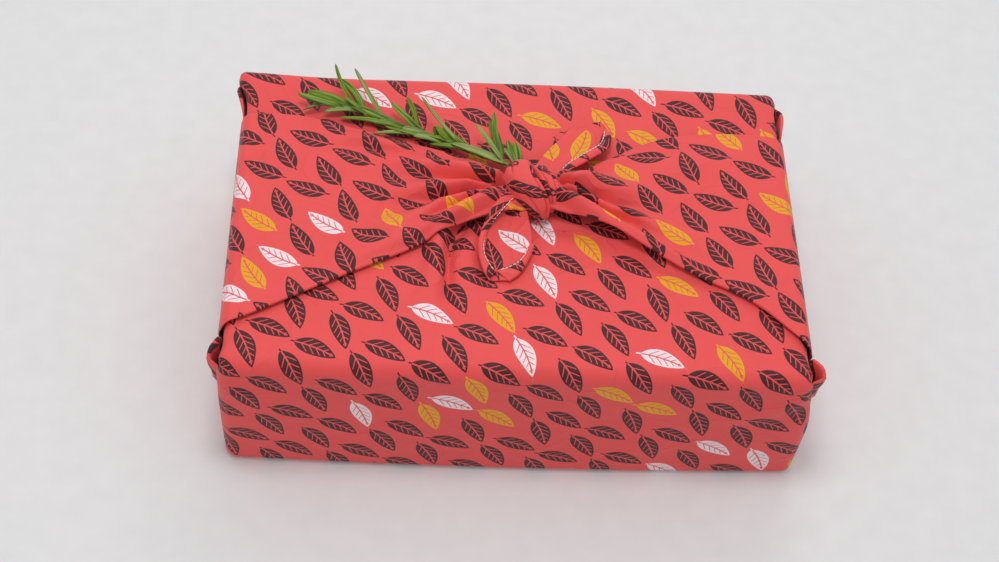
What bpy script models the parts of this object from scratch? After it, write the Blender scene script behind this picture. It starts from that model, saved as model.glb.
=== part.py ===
"""Furoshiki wrap: one square cotton cloth folded round a gift box and tied on top, with a rosemary sprig.

X runs along the long side, Y from the front face to the back, Z up. The origin is the middle of the
underside.
Sizes are in metres; the tables below are in millimetres and are read through MM.
"""
import math

import bmesh
import bpy
from mathutils import Vector

MM = 0.001

# ---------------------------------------------------------------- driving sizes
WIDTH = 0.262               # outside of the wrapped box, left to right
DEPTH = 0.1735              # front to back
FLAP_TOP = 0.0765           # top of the front and back flaps
CLOTH = 0.0010              # thickness of the cloth
PITCH = 0.0015              # from the middle of one folded layer to the next
CORNER_RADIUS = 0.005       # upright corners
EDGE_RISE = 0.0045          # height of the soft round at the top edges
FRONT_BOW = 0.0022          # how far the foot of the front wall bows out in the middle
FRONT_BOW_TOP = 0.060       # height where that bow has faded away
CORNER_FLARE = 0.0036       # how far the folds at the front right corner stand out at the foot
FLARE_REACH = 0.075         # how far back along the end wall they fade

HALF_W = (WIDTH - CLOTH) / 2            # middle of the cloth's thickness
HALF_D = (DEPTH - CLOTH) / 2
FLAP_Z = FLAP_TOP - CLOTH / 2           # middle of the flaps
WALL_TOP = FLAP_Z - EDGE_RISE           # where the walls turn into the flaps and wings
WING_Z = FLAP_Z + 2 * PITCH             # middle of the wings
BOX_GAP = 0.0004                        # gift box to the cloth under it
BOX_CLEARANCE = 0.0035                  # gift box to the middle of the walls

# Ears: the open pleats at the four upright corners, under the top edge
EAR_RISE = 0.0032           # how far the lip stands above the wall's top
EAR_OUT = 0.0032            # how far the lip bows out
EAR_DEPTH = 0.017           # how far down the wall the bow reaches
EAR_PEAK = 0.45             # where along the ear its lip stands out most, from the flap to the wing

# Where the wings leave the end walls, as Y of their front and back edges
WING_SPAN = {"right": (-0.069, 0.053), "left": (-0.066, 0.056)}

FLAP_COLUMNS = 20
WING_COLUMNS = 14
EAR_ARC = 3                 # columns round the corner's arc
EAR_SIDE = 3                # columns from the arc to the wing

# Front flap: comes over the top and folds back under itself; the back flap lies below both layers
FRONT_FOLD_Y = 0.021
FRONT_TUCK_Y = -0.055
BACK_FOLD_Y = -0.050
BACK_TUCK_Y = 0.016
TUCK_SHARE = 0.93           # width of the folded-back layers against the flaps' own
BACK_STEP = (0.025, 0.043)  # the back flap steps down over this stretch, behind the knot

# ---------------------------------------------------------------- wings
KNOT_X, KNOT_Y = 0.006, 0.0075
KNOT_RISE = 0.0062          # how far the gathered wing ends stand above the wings
RISE_REACH = 0.042          # distance from the knot over which they climb
WING_ROWS = 15
EDGE_ROLL = 0.0011          # a wing's folded edge turns down with this radius
EDGE_LIP = 0.0006           # and runs on by this much
ROLL_STEPS = 4

# from: distance from the middle line X = 0, front and back: Y of the two edges
WING_EDGES = {
    "left": [
        {"from": 130.5, "front": -66, "back": 56},
        {"from": 105, "front": -51.5, "back": 56},
        {"from": 76, "front": -35, "back": 49},
        {"from": 50, "front": -21, "back": 41},
        {"from": 28, "front": -7.5, "back": 34},
        {"from": 11, "front": -1.5, "back": 23},
        {"from": 1, "front": 0, "back": 15},
    ],
    "right": [
        {"from": 130.5, "front": -69, "back": 53},
        {"from": 109, "front": -46, "back": 55},
        {"from": 84, "front": -31, "back": 53},
        {"from": 64, "front": -19.5, "back": 47},
        {"from": 43, "front": -8.5, "back": 34},
        {"from": 28, "front": -1.5, "back": 24},
        {"from": 21, "front": 0.5, "back": 19},
        {"from": 15, "front": 1.5, "back": 15},
    ],
}

# Pleats that run out from the knot: a ridge, or a valley where height is below 0, fading as it widens
PLEATS = [
    {"wing": "left", "x0": -10, "y0": 2.5, "x1": -63, "y1": -24, "height": 1.8, "near": 3.0, "far": 7.0},
    {"wing": "left", "x0": -9, "y0": 8, "x1": -71, "y1": -1, "height": -1.8, "near": 2.4, "far": 8.0},
    {"wing": "left", "x0": -8, "y0": 14, "x1": -87, "y1": 2, "height": 1.9, "near": 3.0, "far": 9.0},
    {"wing": "left", "x0": -8, "y0": 19, "x1": -81, "y1": 20.5, "height": -1.6, "near": 2.4, "far": 8.0},
    {"wing": "left", "x0": -7, "y0": 24, "x1": -91, "y1": 30.5, "height": 1.7, "near": 3.0, "far": 9.0},
    {"wing": "right", "x0": 19, "y0": 4, "x1": 92, "y1": -30, "height": 2.3, "near": 3.0, "far": 6.5},
    {"wing": "right", "x0": 19, "y0": 8, "x1": 80, "y1": -13, "height": -1.8, "near": 2.2, "far": 7.0},
    {"wing": "right", "x0": 19, "y0": 12, "x1": 84, "y1": -2, "height": 1.9, "near": 2.6, "far": 8.0},
    {"wing": "right", "x0": 19, "y0": 15, "x1": 84, "y1": 10.5, "height": -1.7, "near": 2.2, "far": 9.0},
    {"wing": "right", "x0": 19, "y0": 19, "x1": 78, "y1": 27.5, "height": 1.6, "near": 2.6, "far": 9.0},
]

# ---------------------------------------------------------------- knot and tails
# Heights are above the flaps. width is across the band, thick is through it.
KNOT_CORE = {"x": 7, "y": 9, "z": 9.8, "half_x": 13, "half_y": 12, "half_z": 7.6}
OVER_BAND = [
    {"x": -4, "y": 18, "z": 6, "width": 12, "thick": 4},
    {"x": -2, "y": 17, "z": 12, "width": 15, "thick": 5},
    {"x": 3, "y": 11, "z": 16.5, "width": 17, "thick": 6},
    {"x": 8, "y": 3, "z": 15, "width": 17, "thick": 6},
    {"x": 11, "y": -2.5, "z": 9, "width": 14, "thick": 5},
    {"x": 10, "y": -2.5, "z": 4.5, "width": 10, "thick": 4},
]
SIDE_BAND = [
    {"x": 7, "y": 25, "z": 6, "width": 7, "thick": 4},
    {"x": 11, "y": 23, "z": 12, "width": 9, "thick": 5},
    {"x": 16, "y": 16, "z": 14.5, "width": 10, "thick": 5},
    {"x": 19, "y": 7, "z": 11.5, "width": 9, "thick": 5},
    {"x": 17, "y": 1, "z": 5, "width": 7, "thick": 4},
]
# From the knot to the tip. left and right: half widths seen from the knot. cup: how far both sides curl up
FRONT_TAIL = [
    {"x": 2, "y": 8, "z": 8, "left": 4, "right": 4, "cup": 2.0},
    {"x": -3, "y": 1, "z": 8, "left": 7, "right": 7, "cup": 3.0},
    {"x": -5, "y": -8, "z": 6, "left": 10.5, "right": 10.5, "cup": 3.5},
    {"x": -6, "y": -17, "z": 4, "left": 11, "right": 10.5, "cup": 3.5},
    {"x": -7, "y": -25, "z": 3, "left": 10, "right": 10.5, "cup": 2.5},
    {"x": -8, "y": -32, "z": 2.4, "left": 7.5, "right": 9, "cup": 1.0},
    {"x": -8.5, "y": -35.5, "z": 2.2, "left": 4, "right": 4, "cup": 0.4},
]
BACK_TAIL = [
    {"x": 8, "y": 13, "z": 9, "left": 3, "right": 3, "cup": 1.5},
    {"x": 14, "y": 20, "z": 8, "left": 7, "right": 5, "cup": 2.5},
    {"x": 21, "y": 28, "z": 6, "left": 10, "right": 7, "cup": 3.5},
    {"x": 29, "y": 37, "z": 4.6, "left": 11, "right": 7, "cup": 3.5},
    {"x": 36, "y": 43.5, "z": 4, "left": 10, "right": 6, "cup": 2.5},
    {"x": 41, "y": 47.5, "z": 3.6, "left": 5, "right": 4, "cup": 0.8},
]
TAIL_COLUMNS = 8

# ---------------------------------------------------------------- rosemary
STEM = [
    {"x": 1, "y": 27.5, "z": 4.6, "radius": 1.1},
    {"x": -31, "y": 42.8, "z": 2.0, "radius": 1.0},
    {"x": -56, "y": 54.2, "z": 1.8, "radius": 0.9},
    {"x": -79, "y": 63.4, "z": 2.2, "radius": 0.7},
]
# at: place along the stem, turn: degrees from the stem's own way, plus towards the front, lift: degrees up
LEAVES = [
    {"at": 1.00, "turn": 8, "lift": 4, "length": 26},
    {"at": 0.98, "turn": 28, "lift": 2, "length": 22},
    {"at": 0.97, "turn": -58, "lift": 10, "length": 21},
    {"at": 0.92, "turn": -8, "lift": 12, "length": 22},
    {"at": 0.84, "turn": -24, "lift": 8, "length": 27},
    {"at": 0.82, "turn": 20, "lift": 4, "length": 24},
    {"at": 0.76, "turn": -36, "lift": 12, "length": 32},
    {"at": 0.70, "turn": 20, "lift": 3, "length": 25},
    {"at": 0.66, "turn": -14, "lift": 20, "length": 20},
    {"at": 0.56, "turn": 20, "lift": 6, "length": 22},
    {"at": 0.58, "turn": -32, "lift": 8, "length": 18},
    {"at": 0.46, "turn": -43, "lift": 8, "length": 26},
    {"at": 0.46, "turn": 22, "lift": 8, "length": 25},
    {"at": 0.32, "turn": -30, "lift": 10, "length": 32},
    {"at": 0.30, "turn": 12, "lift": 14, "length": 26},
    {"at": 0.22, "turn": -14, "lift": 14, "length": 20},
    {"at": 0.14, "turn": -36, "lift": 10, "length": 24},
    {"at": 0.10, "turn": -48, "lift": 6, "length": 22},
    {"at": 0.08, "turn": -44, "lift": 34, "length": 24},
    {"at": 0.06, "turn": 10, "lift": 16, "length": 28},
    {"at": 0.02, "turn": -46, "lift": 30, "length": 17},
    {"at": 0.01, "turn": -66, "lift": 20, "length": 16},
]
LEAF_WIDTH = 0.0027
LEAF_TIP = 0.4              # width of the tip against the foot
LEAF_THICKNESS = 0.0009

# name, colour, roughness
CLOTH_LOOK = ("printed_cotton", (0.80, 0.11, 0.10), 0.85)
BOX_LOOK = ("plain_card", (0.72, 0.66, 0.56), 0.80)
SPRIG_LOOK = ("rosemary_green", (0.12, 0.26, 0.04), 0.55)


# ---------------------------------------------------------------- helpers
def clear_scene():
    for obj in list(bpy.data.objects):
        bpy.data.objects.remove(obj, do_unlink=True)


def new_collection(name):
    collection = bpy.data.collections.new(name)
    bpy.context.scene.collection.children.link(collection)
    return collection


def make_material(look):
    name, colour, roughness = look
    material = bpy.data.materials.new(name)
    material.use_nodes = True
    shader = material.node_tree.nodes["Principled BSDF"]
    shader.inputs["Base Color"].default_value = (*colour, 1.0)
    shader.inputs["Roughness"].default_value = roughness
    shader.inputs["Metallic"].default_value = 0.0
    return material


def object_from_bmesh(bm, name, collection, look=None):
    bmesh.ops.recalc_face_normals(bm, faces=bm.faces)
    mesh = bpy.data.meshes.new(name)
    bm.to_mesh(mesh)
    bm.free()
    mesh.shade_smooth()
    obj = bpy.data.objects.new(name, mesh)
    collection.objects.link(obj)
    if look:
        mesh.materials.append(make_material(look))
    return obj


def smooth(t):
    """0 to 1 with level ends."""
    t = min(max(t, 0.0), 1.0)
    return t * t * (3 - 2 * t)


def mix(a, b, t):
    return a + (b - a) * t


def spline(rows, key, t):
    """A smooth curve through one column of a table, for t from 0 to 1."""
    values = [row[key] for row in rows]
    place = min(max(t, 0.0), 1.0) * (len(values) - 1)
    i = min(int(place), len(values) - 2)
    f = place - i
    p1, p2 = values[i], values[i + 1]
    p0 = values[i - 1] if i > 0 else 2 * p1 - p2
    p3 = values[i + 2] if i + 2 < len(values) else 2 * p2 - p1
    return 0.5 * (2 * p1 + (p2 - p0) * f + (2 * p0 - 5 * p1 + 4 * p2 - p3) * f * f
                  + (3 * p1 - p0 - 3 * p2 + p3) * f ** 3)


def stitch_rows(bm, rows):
    """Faces between neighbouring rows of vertices; a vertex that repeats makes a triangle."""
    for lower, upper in zip(rows, rows[1:]):
        for i in range(len(lower) - 1):
            corners = []
            for v in (lower[i], lower[i + 1], upper[i + 1], upper[i]):
                if v not in corners:
                    corners.append(v)
            if len(corners) > 2 and bm.faces.get(corners) is None:
                bm.faces.new(corners)


# ---------------------------------------------------------------- walls
def side_outline():
    """The wall's plan seen from above, anticlockwise.

    Each entry holds its section, x, y, outward x, outward y and its share of the section.
    """
    straight_x = HALF_W - CORNER_RADIUS
    straight_y = HALF_D - CORNER_RADIUS
    quarter = math.pi / 2
    plan = []

    def straight(section, start, end, outward, count):
        for i in range(count):
            t = i / count
            plan.append((section, mix(start[0], end[0], t), mix(start[1], end[1], t), *outward, t))

    def ear(section, turn, wing_edge, to_wing):
        """A corner's arc and the stretch of end wall between it and the wing."""
        centre = (straight_x * (1 if turn in (0, 1) else -1), straight_y * (1 if turn in (1, 2) else -1))
        side = centre[0] + math.copysign(CORNER_RADIUS, centre[0])
        outward = (math.copysign(1.0, side), 0.0)
        count = EAR_ARC + EAR_SIDE
        arc = []
        for i in range(EAR_ARC + 1):
            angle = quarter * (turn - 1 + i / EAR_ARC)
            way = (math.cos(angle), math.sin(angle))
            arc.append((centre[0] + CORNER_RADIUS * way[0], centre[1] + CORNER_RADIUS * way[1], *way))
        run = [(side, mix(centre[1], wing_edge, i / EAR_SIDE), *outward) for i in range(1, EAR_SIDE + 1)]
        points = arc + run if to_wing else run[::-1] + arc
        for i in range(count):
            plan.append((section, *points[i], i / count))

    right_front, right_back = WING_SPAN["right"]
    left_front, left_back = WING_SPAN["left"]
    straight("front", (-straight_x, -HALF_D), (straight_x, -HALF_D), (0, -1), FLAP_COLUMNS)
    ear("ear_front_right", 0, right_front, True)
    straight("right", (HALF_W, right_front), (HALF_W, right_back), (1, 0), WING_COLUMNS)
    ear("ear_back_right", 1, right_back, False)
    straight("back", (straight_x, HALF_D), (-straight_x, HALF_D), (0, 1), FLAP_COLUMNS)
    ear("ear_back_left", 2, left_back, True)
    straight("left", (-HALF_W, left_back), (-HALF_W, left_front), (-1, 0), WING_COLUMNS)
    ear("ear_front_left", 3, left_front, False)
    return plan


def ear_shape(section, share):
    """How far the lip of an ear stands out, 0 at both ends and 1 just past the corner."""
    if not section.startswith("ear"):
        return 0.0
    from_flap = share if section in ("ear_front_right", "ear_back_left") else 1 - share
    if from_flap < EAR_PEAK:
        return smooth(from_flap / EAR_PEAK)
    return smooth((1 - from_flap) / (1 - EAR_PEAK))


# height: millimetres up the wall, inset: millimetres in from the wall's own line
WALL_ROWS = [
    {"height": 0.5, "inset": 3.0},
    {"height": 1.3, "inset": 0.9},
    {"height": 3.5, "inset": 0.0},
    {"height": 24, "inset": -0.8},
    {"height": 48, "inset": -0.7},
    {"height": 58, "inset": -0.3},
    {"height": WALL_TOP / MM, "inset": 0.0},
]


def front_bow(x, height):
    return FRONT_BOW * (1 - (x / HALF_W) ** 2) * (1 - smooth(height / FRONT_BOW_TOP))


def corner_flare(x, y, height):
    """The folds at the front right corner stand out below half height."""
    near_side = smooth((x / HALF_W - 0.7) / 0.3)
    near_front = 1 - smooth((y + HALF_D) / FLARE_REACH)
    low = 1 - smooth(2 * height / WALL_TOP - 1)
    return CORNER_FLARE * near_side * near_front * low


def build_walls(bm):
    """Rings of vertices from the underside to the top of the walls; returns the top ring by section."""
    plan = side_outline()
    rings = []
    for row in WALL_ROWS:
        ring = []
        for section, x, y, out_x, out_y, share in plan:
            height = row["height"] * MM
            out = -row["inset"] * MM
            ear = ear_shape(section, share) * smooth((height - (WALL_TOP - EAR_DEPTH)) / EAR_DEPTH)
            ear_x = math.copysign(EAR_OUT * ear, x)
            forward = front_bow(x, height) if y < 0 else 0.0
            ring.append(bm.verts.new((x + out_x * out + ear_x + corner_flare(x, y, height),
                                      y + out_y * out - forward, height + EAR_RISE * ear)))
        rings.append(ring)
    stitch_rows(bm, [ring + ring[:1] for ring in rings])
    bm.faces.new(rings[0])
    top = {}
    for i, (section, *_rest) in enumerate(plan):
        top.setdefault(section, []).append(rings[-1][i])
        if section != plan[i - 1][0]:
            top.setdefault(plan[i - 1][0], []).append(rings[-1][i])
    return top


# ---------------------------------------------------------------- flaps
ROUND_STEPS = 3             # rows in the soft round of a top edge
FOLD_STEPS = 3              # rows in a folded-back edge

# The flaps' sides turn down into the ears: out and down from the flap's side edge, in millimetres
SIDE_LIP = [
    {"out": 1.0, "down": 0.4},
    {"out": 1.7, "down": 1.3},
    {"out": 1.9, "down": 4.2},
]

# Rows across each flap, from its wall inwards. lip: how much of the side lip is there
FRONT_FLAP_ROWS = [
    {"y": -73, "lip": 1},
    {"y": -62, "lip": 1},
    {"y": -52, "lip": 0.5},
    {"y": -42, "lip": 0},
    {"y": -14, "lip": 0},
]
BACK_FLAP_ROWS = [
    {"y": 70, "lip": 1},
    {"y": 55, "lip": 1},
    {"y": 47, "lip": 0.5},
    {"y": 43, "lip": 0},
    {"y": 37, "lip": 0},
    {"y": 31, "lip": 0},
    {"y": 25, "lip": 0},
    {"y": -12, "lip": 0},
]


def round_over(step, radius_in, rise):
    """Quarter round from the wall's top inwards: (distance in, height above the wall's top)."""
    angle = math.pi / 2 * step / ROUND_STEPS
    return radius_in * (1 - math.cos(angle)), rise * math.sin(angle)


def build_flap(bm, base, inward, rows_z, fold_y, tuck_y, level_rows):
    """A flap from its base vertices over the top, folded back under itself at fold_y."""
    wall_y = base[len(base) // 2].co.y
    rows = [[base[0]] * len(SIDE_LIP) + list(base) + [base[-1]] * len(SIDE_LIP)]

    def add_row(y, z, lip_share, width_share=1.0):
        row = [bm.verts.new((v.co.x * width_share, y, z)) for v in base]
        lips = []
        for edge in (row[0], row[-1]):
            if lip_share == 0:
                lips.append([edge] * len(SIDE_LIP))
                continue
            out = math.copysign(lip_share * MM, edge.co.x)
            down = lip_share * MM
            lips.append([bm.verts.new((edge.co.x + out * lip["out"], y, z - down * lip["down"]))
                         for lip in SIDE_LIP])
        rows.append(lips[0][::-1] + row + lips[1])

    for step in range(1, ROUND_STEPS + 1):
        distance, height = round_over(step, EDGE_RISE, EDGE_RISE)
        add_row(wall_y + inward * distance, WALL_TOP + height, 1.0 if step == ROUND_STEPS else 0.0)
    for row in level_rows:
        add_row(row["y"] * MM, rows_z(row["y"] * MM), row["lip"])
    fold_z = rows_z(fold_y)
    for step in range(FOLD_STEPS + 1):
        share = step / FOLD_STEPS
        angle = math.pi * share
        add_row(fold_y + inward * PITCH / 2 * math.sin(angle), fold_z - PITCH / 2 * (1 - math.cos(angle)),
                0.0, mix(1.0, TUCK_SHARE, share))
    add_row(mix(fold_y, tuck_y, 0.5), fold_z - PITCH, 0.0, TUCK_SHARE)
    add_row(tuck_y, fold_z - PITCH, 0.0, TUCK_SHARE)
    stitch_rows(bm, rows)


def back_level(y):
    """The back flap steps down behind the knot, to pass under both layers of the front flap."""
    low, high = BACK_STEP
    return FLAP_Z - 2 * PITCH * (1 - smooth((y - low) / (high - low)))


def build_flaps(bm, top):
    build_flap(bm, top["front"], 1, lambda y: FLAP_Z, FRONT_FOLD_Y, FRONT_TUCK_Y, FRONT_FLAP_ROWS)
    build_flap(bm, top["back"], -1, back_level, BACK_FOLD_Y, BACK_TUCK_Y, BACK_FLAP_ROWS)


# ---------------------------------------------------------------- wings
def wing_height(wing, x, y):
    """Height of a wing's middle surface: level, climbing to the knot, with its pleats."""
    near = 1 - math.hypot(x - KNOT_X, y - KNOT_Y) / RISE_REACH
    height = WING_Z + KNOT_RISE * smooth(near)
    for pleat in PLEATS:
        if pleat["wing"] != wing:
            continue
        ax, ay = pleat["x0"] * MM, pleat["y0"] * MM
        dx, dy = pleat["x1"] * MM - ax, pleat["y1"] * MM - ay
        length = math.hypot(dx, dy)
        along = ((x - ax) * dx + (y - ay) * dy) / length ** 2
        across = abs((x - ax) * dy - (y - ay) * dx) / length
        share = min(max(along, 0.0), 1.0)
        width = mix(pleat["near"], pleat["far"], share) * MM
        fade = (1 - smooth(along)) if along > 0 else 1.0
        height += pleat["height"] * MM * fade * smooth(1 - across / width)
    return height


def edge_y(wing, side, distance):
    """Y of a wing's edge at a distance from the middle line: a smooth curve through its table."""
    rows = WING_EDGES[wing]
    last = len(rows) - 1
    place = distance / MM
    i = 0
    while i < last - 1 and place < rows[i + 1]["from"]:
        i += 1

    def slope(k):
        before, after = rows[max(k - 1, 0)], rows[min(k + 1, last)]
        return (after[side] - before[side]) / (after["from"] - before["from"])

    span = rows[i + 1]["from"] - rows[i]["from"]
    t = min(max((place - rows[i]["from"]) / span, 0.0), 1.0)
    y = ((1 + 2 * t) * (1 - t) ** 2 * rows[i][side] + t * (1 - t) ** 2 * span * slope(i)
         + t * t * (3 - 2 * t) * rows[i + 1][side] + t * t * (t - 1) * span * slope(i + 1))
    return y * MM


def build_wing(bm, base, wing):
    """A wing from the end wall to the knot. base runs from its front edge to its back edge."""
    sign = 1 if wing == "right" else -1
    table = WING_EDGES[wing]
    start = HALF_W
    end = table[-1]["from"] * MM
    round_in, round_up = 0.005, WING_Z - WALL_TOP
    distances = []
    for step in range(1, ROUND_STEPS + 1):
        distance, height = round_over(step, round_in, round_up)
        distances.append((start - distance, WALL_TOP + height - WING_Z))
    flat_start = start - round_in
    for row in range(1, WING_ROWS + 1):
        share = 1 - (1 - row / WING_ROWS) ** 1.35
        distances.append((mix(flat_start, end, share), 0.0))

    rows = [[base[0]] * ROLL_STEPS + list(base) + [base[-1]] * ROLL_STEPS]
    for index, (distance, drop) in enumerate(distances):
        x = sign * distance
        front = edge_y(wing, "front", distance)
        back = edge_y(wing, "back", distance)
        columns = []
        for i in range(WING_COLUMNS + 1):
            y = mix(front, back, i / WING_COLUMNS)
            columns.append(bm.verts.new((x, y, wing_height(wing, x, y) + drop)))
        roll = smooth((index - ROUND_STEPS + 1) / 4)
        front_roll = rolled_edge(bm, columns[0], edge_normal(wing, "front", distance, sign), roll)
        back_roll = rolled_edge(bm, columns[-1], edge_normal(wing, "back", distance, sign), roll)
        rows.append(front_roll[::-1] + columns + back_roll)
    stitch_rows(bm, rows)


def edge_normal(wing, side, distance, sign):
    """Level direction straight out of a wing's edge."""
    step = 1 * MM
    slope = (edge_y(wing, side, distance + step) - edge_y(wing, side, distance - step)) / (2 * step)
    outward = -1 if side == "front" else 1
    return Vector((-slope * outward * sign, outward, 0)).normalized()


def rolled_edge(bm, edge, outward, share):
    """Vertices that turn a wing's edge down towards the flap below; share 0 leaves it flat."""
    if share <= 0:
        return [edge] * ROLL_STEPS
    down = Vector((0, 0, -1))
    points = []
    for step in range(1, ROLL_STEPS):
        angle = math.pi / 2 * share * step / (ROLL_STEPS - 1)
        points.append(edge.co + (outward * math.sin(angle) + down * (1 - math.cos(angle))) * EDGE_ROLL)
    points.append(points[-1] + (outward * math.cos(angle) + down * math.sin(angle)) * EDGE_LIP * share)
    return [bm.verts.new(point) for point in points]


# ---------------------------------------------------------------- knot and tails
def band_object(rows, name, collection, segments=12, steps=12):
    """A soft flattened band: an oval section swept along the table's smooth curve, closed at both ends."""
    bm = bmesh.new()
    rings = []
    for step in range(steps + 1):
        t = step / steps
        centre = Vector([spline(rows, key, t) for key in ("x", "y", "z")])
        ahead = Vector([spline(rows, key, min(t + 0.02, 1)) for key in ("x", "y", "z")])
        behind = Vector([spline(rows, key, max(t - 0.02, 0)) for key in ("x", "y", "z")])
        along = (ahead - behind).normalized()
        hub = Vector((KNOT_CORE["x"], KNOT_CORE["y"], KNOT_CORE["z"] - 3))
        outward = (centre - hub)
        outward = (outward - along * outward.dot(along)).normalized()
        across = along.cross(outward)
        end_taper = math.sqrt(max(1 - abs(2 * t - 1) ** 6, 0.06))
        half_wide = spline(rows, "width", t) / 2 * end_taper
        half_thick = spline(rows, "thick", t) / 2 * end_taper
        ring = []
        for i in range(segments):
            angle = 2 * math.pi * i / segments
            point = centre + across * half_wide * math.cos(angle) + outward * half_thick * math.sin(angle)
            ring.append(bm.verts.new((point.x * MM, point.y * MM, FLAP_Z + point.z * MM)))
        rings.append(ring)
    stitch_rows(bm, [ring + ring[:1] for ring in rings])
    bm.faces.new(rings[0])
    bm.faces.new(rings[-1])
    return object_from_bmesh(bm, name, collection)


def tail_object(rows, name, collection, steps=11):
    """A tail: a thin leaf of cloth, cupped along its length."""
    bm = bmesh.new()
    lines = []
    for step in range(steps + 1):
        t = step / steps
        centre = Vector([spline(rows, key, t) for key in ("x", "y", "z")])
        ahead = Vector([spline(rows, key, min(t + 0.02, 1)) for key in ("x", "y", "z")])
        behind = Vector([spline(rows, key, max(t - 0.02, 0)) for key in ("x", "y", "z")])
        along = (ahead - behind).normalized()
        left = Vector((-along.y, along.x, 0)).normalized()
        line = []
        for i in range(TAIL_COLUMNS + 1):
            share = 2 * i / TAIL_COLUMNS - 1
            half = spline(rows, "left" if share > 0 else "right", t)
            point = centre + left * half * share
            lift = spline(rows, "cup", t) * share * share
            line.append(bm.verts.new((point.x * MM, point.y * MM, FLAP_Z + (point.z + lift) * MM)))
        lines.append(line)
    stitch_rows(bm, lines)
    tail = object_from_bmesh(bm, name, collection)
    thicken(tail)
    return tail


def thicken(obj):
    solid = obj.modifiers.new("cloth_thickness", "SOLIDIFY")
    solid.thickness = CLOTH
    solid.offset = 0.0
    solid.use_even_offset = True
    solid.use_rim = True


def core_object(name, collection):
    bm = bmesh.new()
    bmesh.ops.create_uvsphere(bm, u_segments=16, v_segments=10, radius=1.0)
    for v in bm.verts:
        v.co = Vector(((KNOT_CORE["x"] + KNOT_CORE["half_x"] * v.co.x) * MM,
                       (KNOT_CORE["y"] + KNOT_CORE["half_y"] * v.co.y) * MM,
                       FLAP_Z + (KNOT_CORE["z"] + KNOT_CORE["half_z"] * v.co.z) * MM))
    return object_from_bmesh(bm, name, collection)


def join_to(obj, operand):
    operand.hide_render = True
    operand.display_type = "WIRE"
    union = obj.modifiers.new("join_" + operand.name, "BOOLEAN")
    union.operation = "UNION"
    union.solver = "EXACT"
    union.object = operand


# ---------------------------------------------------------------- the three pieces
def build_cloth(parts, cutters):
    bm = bmesh.new()
    top = build_walls(bm)
    build_flaps(bm, top)
    build_wing(bm, top["right"], "right")
    build_wing(bm, top["left"][::-1], "left")
    cloth = object_from_bmesh(bm, "furoshiki_cloth", parts, CLOTH_LOOK)
    thicken(cloth)
    for operand in (
        core_object("knot_core", cutters),
        band_object(OVER_BAND, "knot_over_band", cutters),
        band_object(SIDE_BAND, "knot_side_band", cutters),
        tail_object(FRONT_TAIL, "front_tail", cutters),
        tail_object(BACK_TAIL, "back_tail", cutters),
    ):
        join_to(cloth, operand)
    return cloth


def build_gift_box(parts):
    half_x = HALF_W - BOX_CLEARANCE
    half_y = HALF_D - BOX_CLEARANCE
    low = CLOTH + BOX_GAP
    high = FLAP_Z - 3 * PITCH - CLOTH / 2 - BOX_GAP
    bm = bmesh.new()
    bmesh.ops.create_cube(bm, size=1.0)
    for v in bm.verts:
        v.co = Vector((v.co.x * 2 * half_x, v.co.y * 2 * half_y, mix(low, high, v.co.z + 0.5)))
    box = object_from_bmesh(bm, "gift_box", parts, BOX_LOOK)
    bevel = box.modifiers.new("soft_edges", "BEVEL")
    bevel.width = 0.002
    bevel.segments = 2
    box.data.set_sharp_from_angle(angle=math.radians(40))
    return box


def stem_point(t):
    return Vector([spline(STEM, key, t) for key in ("x", "y", "z")])


def build_sprig(parts, cutters):
    """The stem is a tapered sweep; each needle leaf is a flat pointed blade joined to it."""
    bm = bmesh.new()
    rings = []
    steps, segments = 10, 6
    for step in range(steps + 1):
        t = step / steps
        centre = stem_point(t)
        along = (stem_point(min(t + 0.05, 1)) - stem_point(max(t - 0.05, 0))).normalized()
        across = along.cross(Vector((0, 0, 1))).normalized()
        upward = across.cross(along)
        radius = spline(STEM, "radius", t)
        ring = []
        for i in range(segments):
            angle = 2 * math.pi * i / segments
            point = centre + (across * math.cos(angle) + upward * math.sin(angle)) * radius
            ring.append(bm.verts.new((point.x * MM, point.y * MM, FLAP_Z + point.z * MM)))
        rings.append(ring)
    stitch_rows(bm, [ring + ring[:1] for ring in rings])
    bm.faces.new(rings[0])
    bm.faces.new(rings[-1])
    sprig = object_from_bmesh(bm, "rosemary_sprig", parts, SPRIG_LOOK)
    for number, leaf in enumerate(LEAVES):
        join_to(sprig, leaf_object(leaf, f"leaf_{number:02d}", cutters))
    return sprig


def leaf_object(leaf, name, collection):
    bm = bmesh.new()
    bmesh.ops.create_cone(bm, cap_ends=True, segments=6, radius1=0.5, radius2=0.5 * LEAF_TIP, depth=1.0)
    at = leaf["at"]
    along = (stem_point(min(at + 0.05, 1)) - stem_point(max(at - 0.05, 0))).normalized()
    heading = math.atan2(along.y, along.x) + math.radians(leaf["turn"])
    lift = math.radians(leaf["lift"])
    across = Vector((-math.sin(heading), math.cos(heading), 0))
    level = Vector((math.cos(heading), math.sin(heading), 0))
    forward = level * math.cos(lift) + Vector((0, 0, 1)) * math.sin(lift)
    upward = forward.cross(across)
    start = stem_point(at) * MM
    start.z += FLAP_Z
    for v in bm.verts:
        share = v.co.z + 0.5
        v.co = (start + forward * leaf["length"] * MM * share + across * LEAF_WIDTH * v.co.x
                + upward * LEAF_THICKNESS * v.co.y)
    return object_from_bmesh(bm, name, collection)


def main():
    clear_scene()
    parts = new_collection("furoshiki_wrap")
    cutters = new_collection("cutters")
    build_cloth(parts, cutters)
    build_gift_box(parts)
    build_sprig(parts, cutters)


main()
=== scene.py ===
"""Looks of the furoshiki wrap: printed cotton folded round a gift box and knotted over it, with rosemary.

Everything is in metres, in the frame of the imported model: X along the long side, Y from the front face to
the back, Z up. The tables are in millimetres and are read through MM. The cloth's UV map holds the place of
each point on the flat square of cloth, in metres, with the middle of the underside at (0, 0).
"""

import math
from collections import namedtuple

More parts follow.
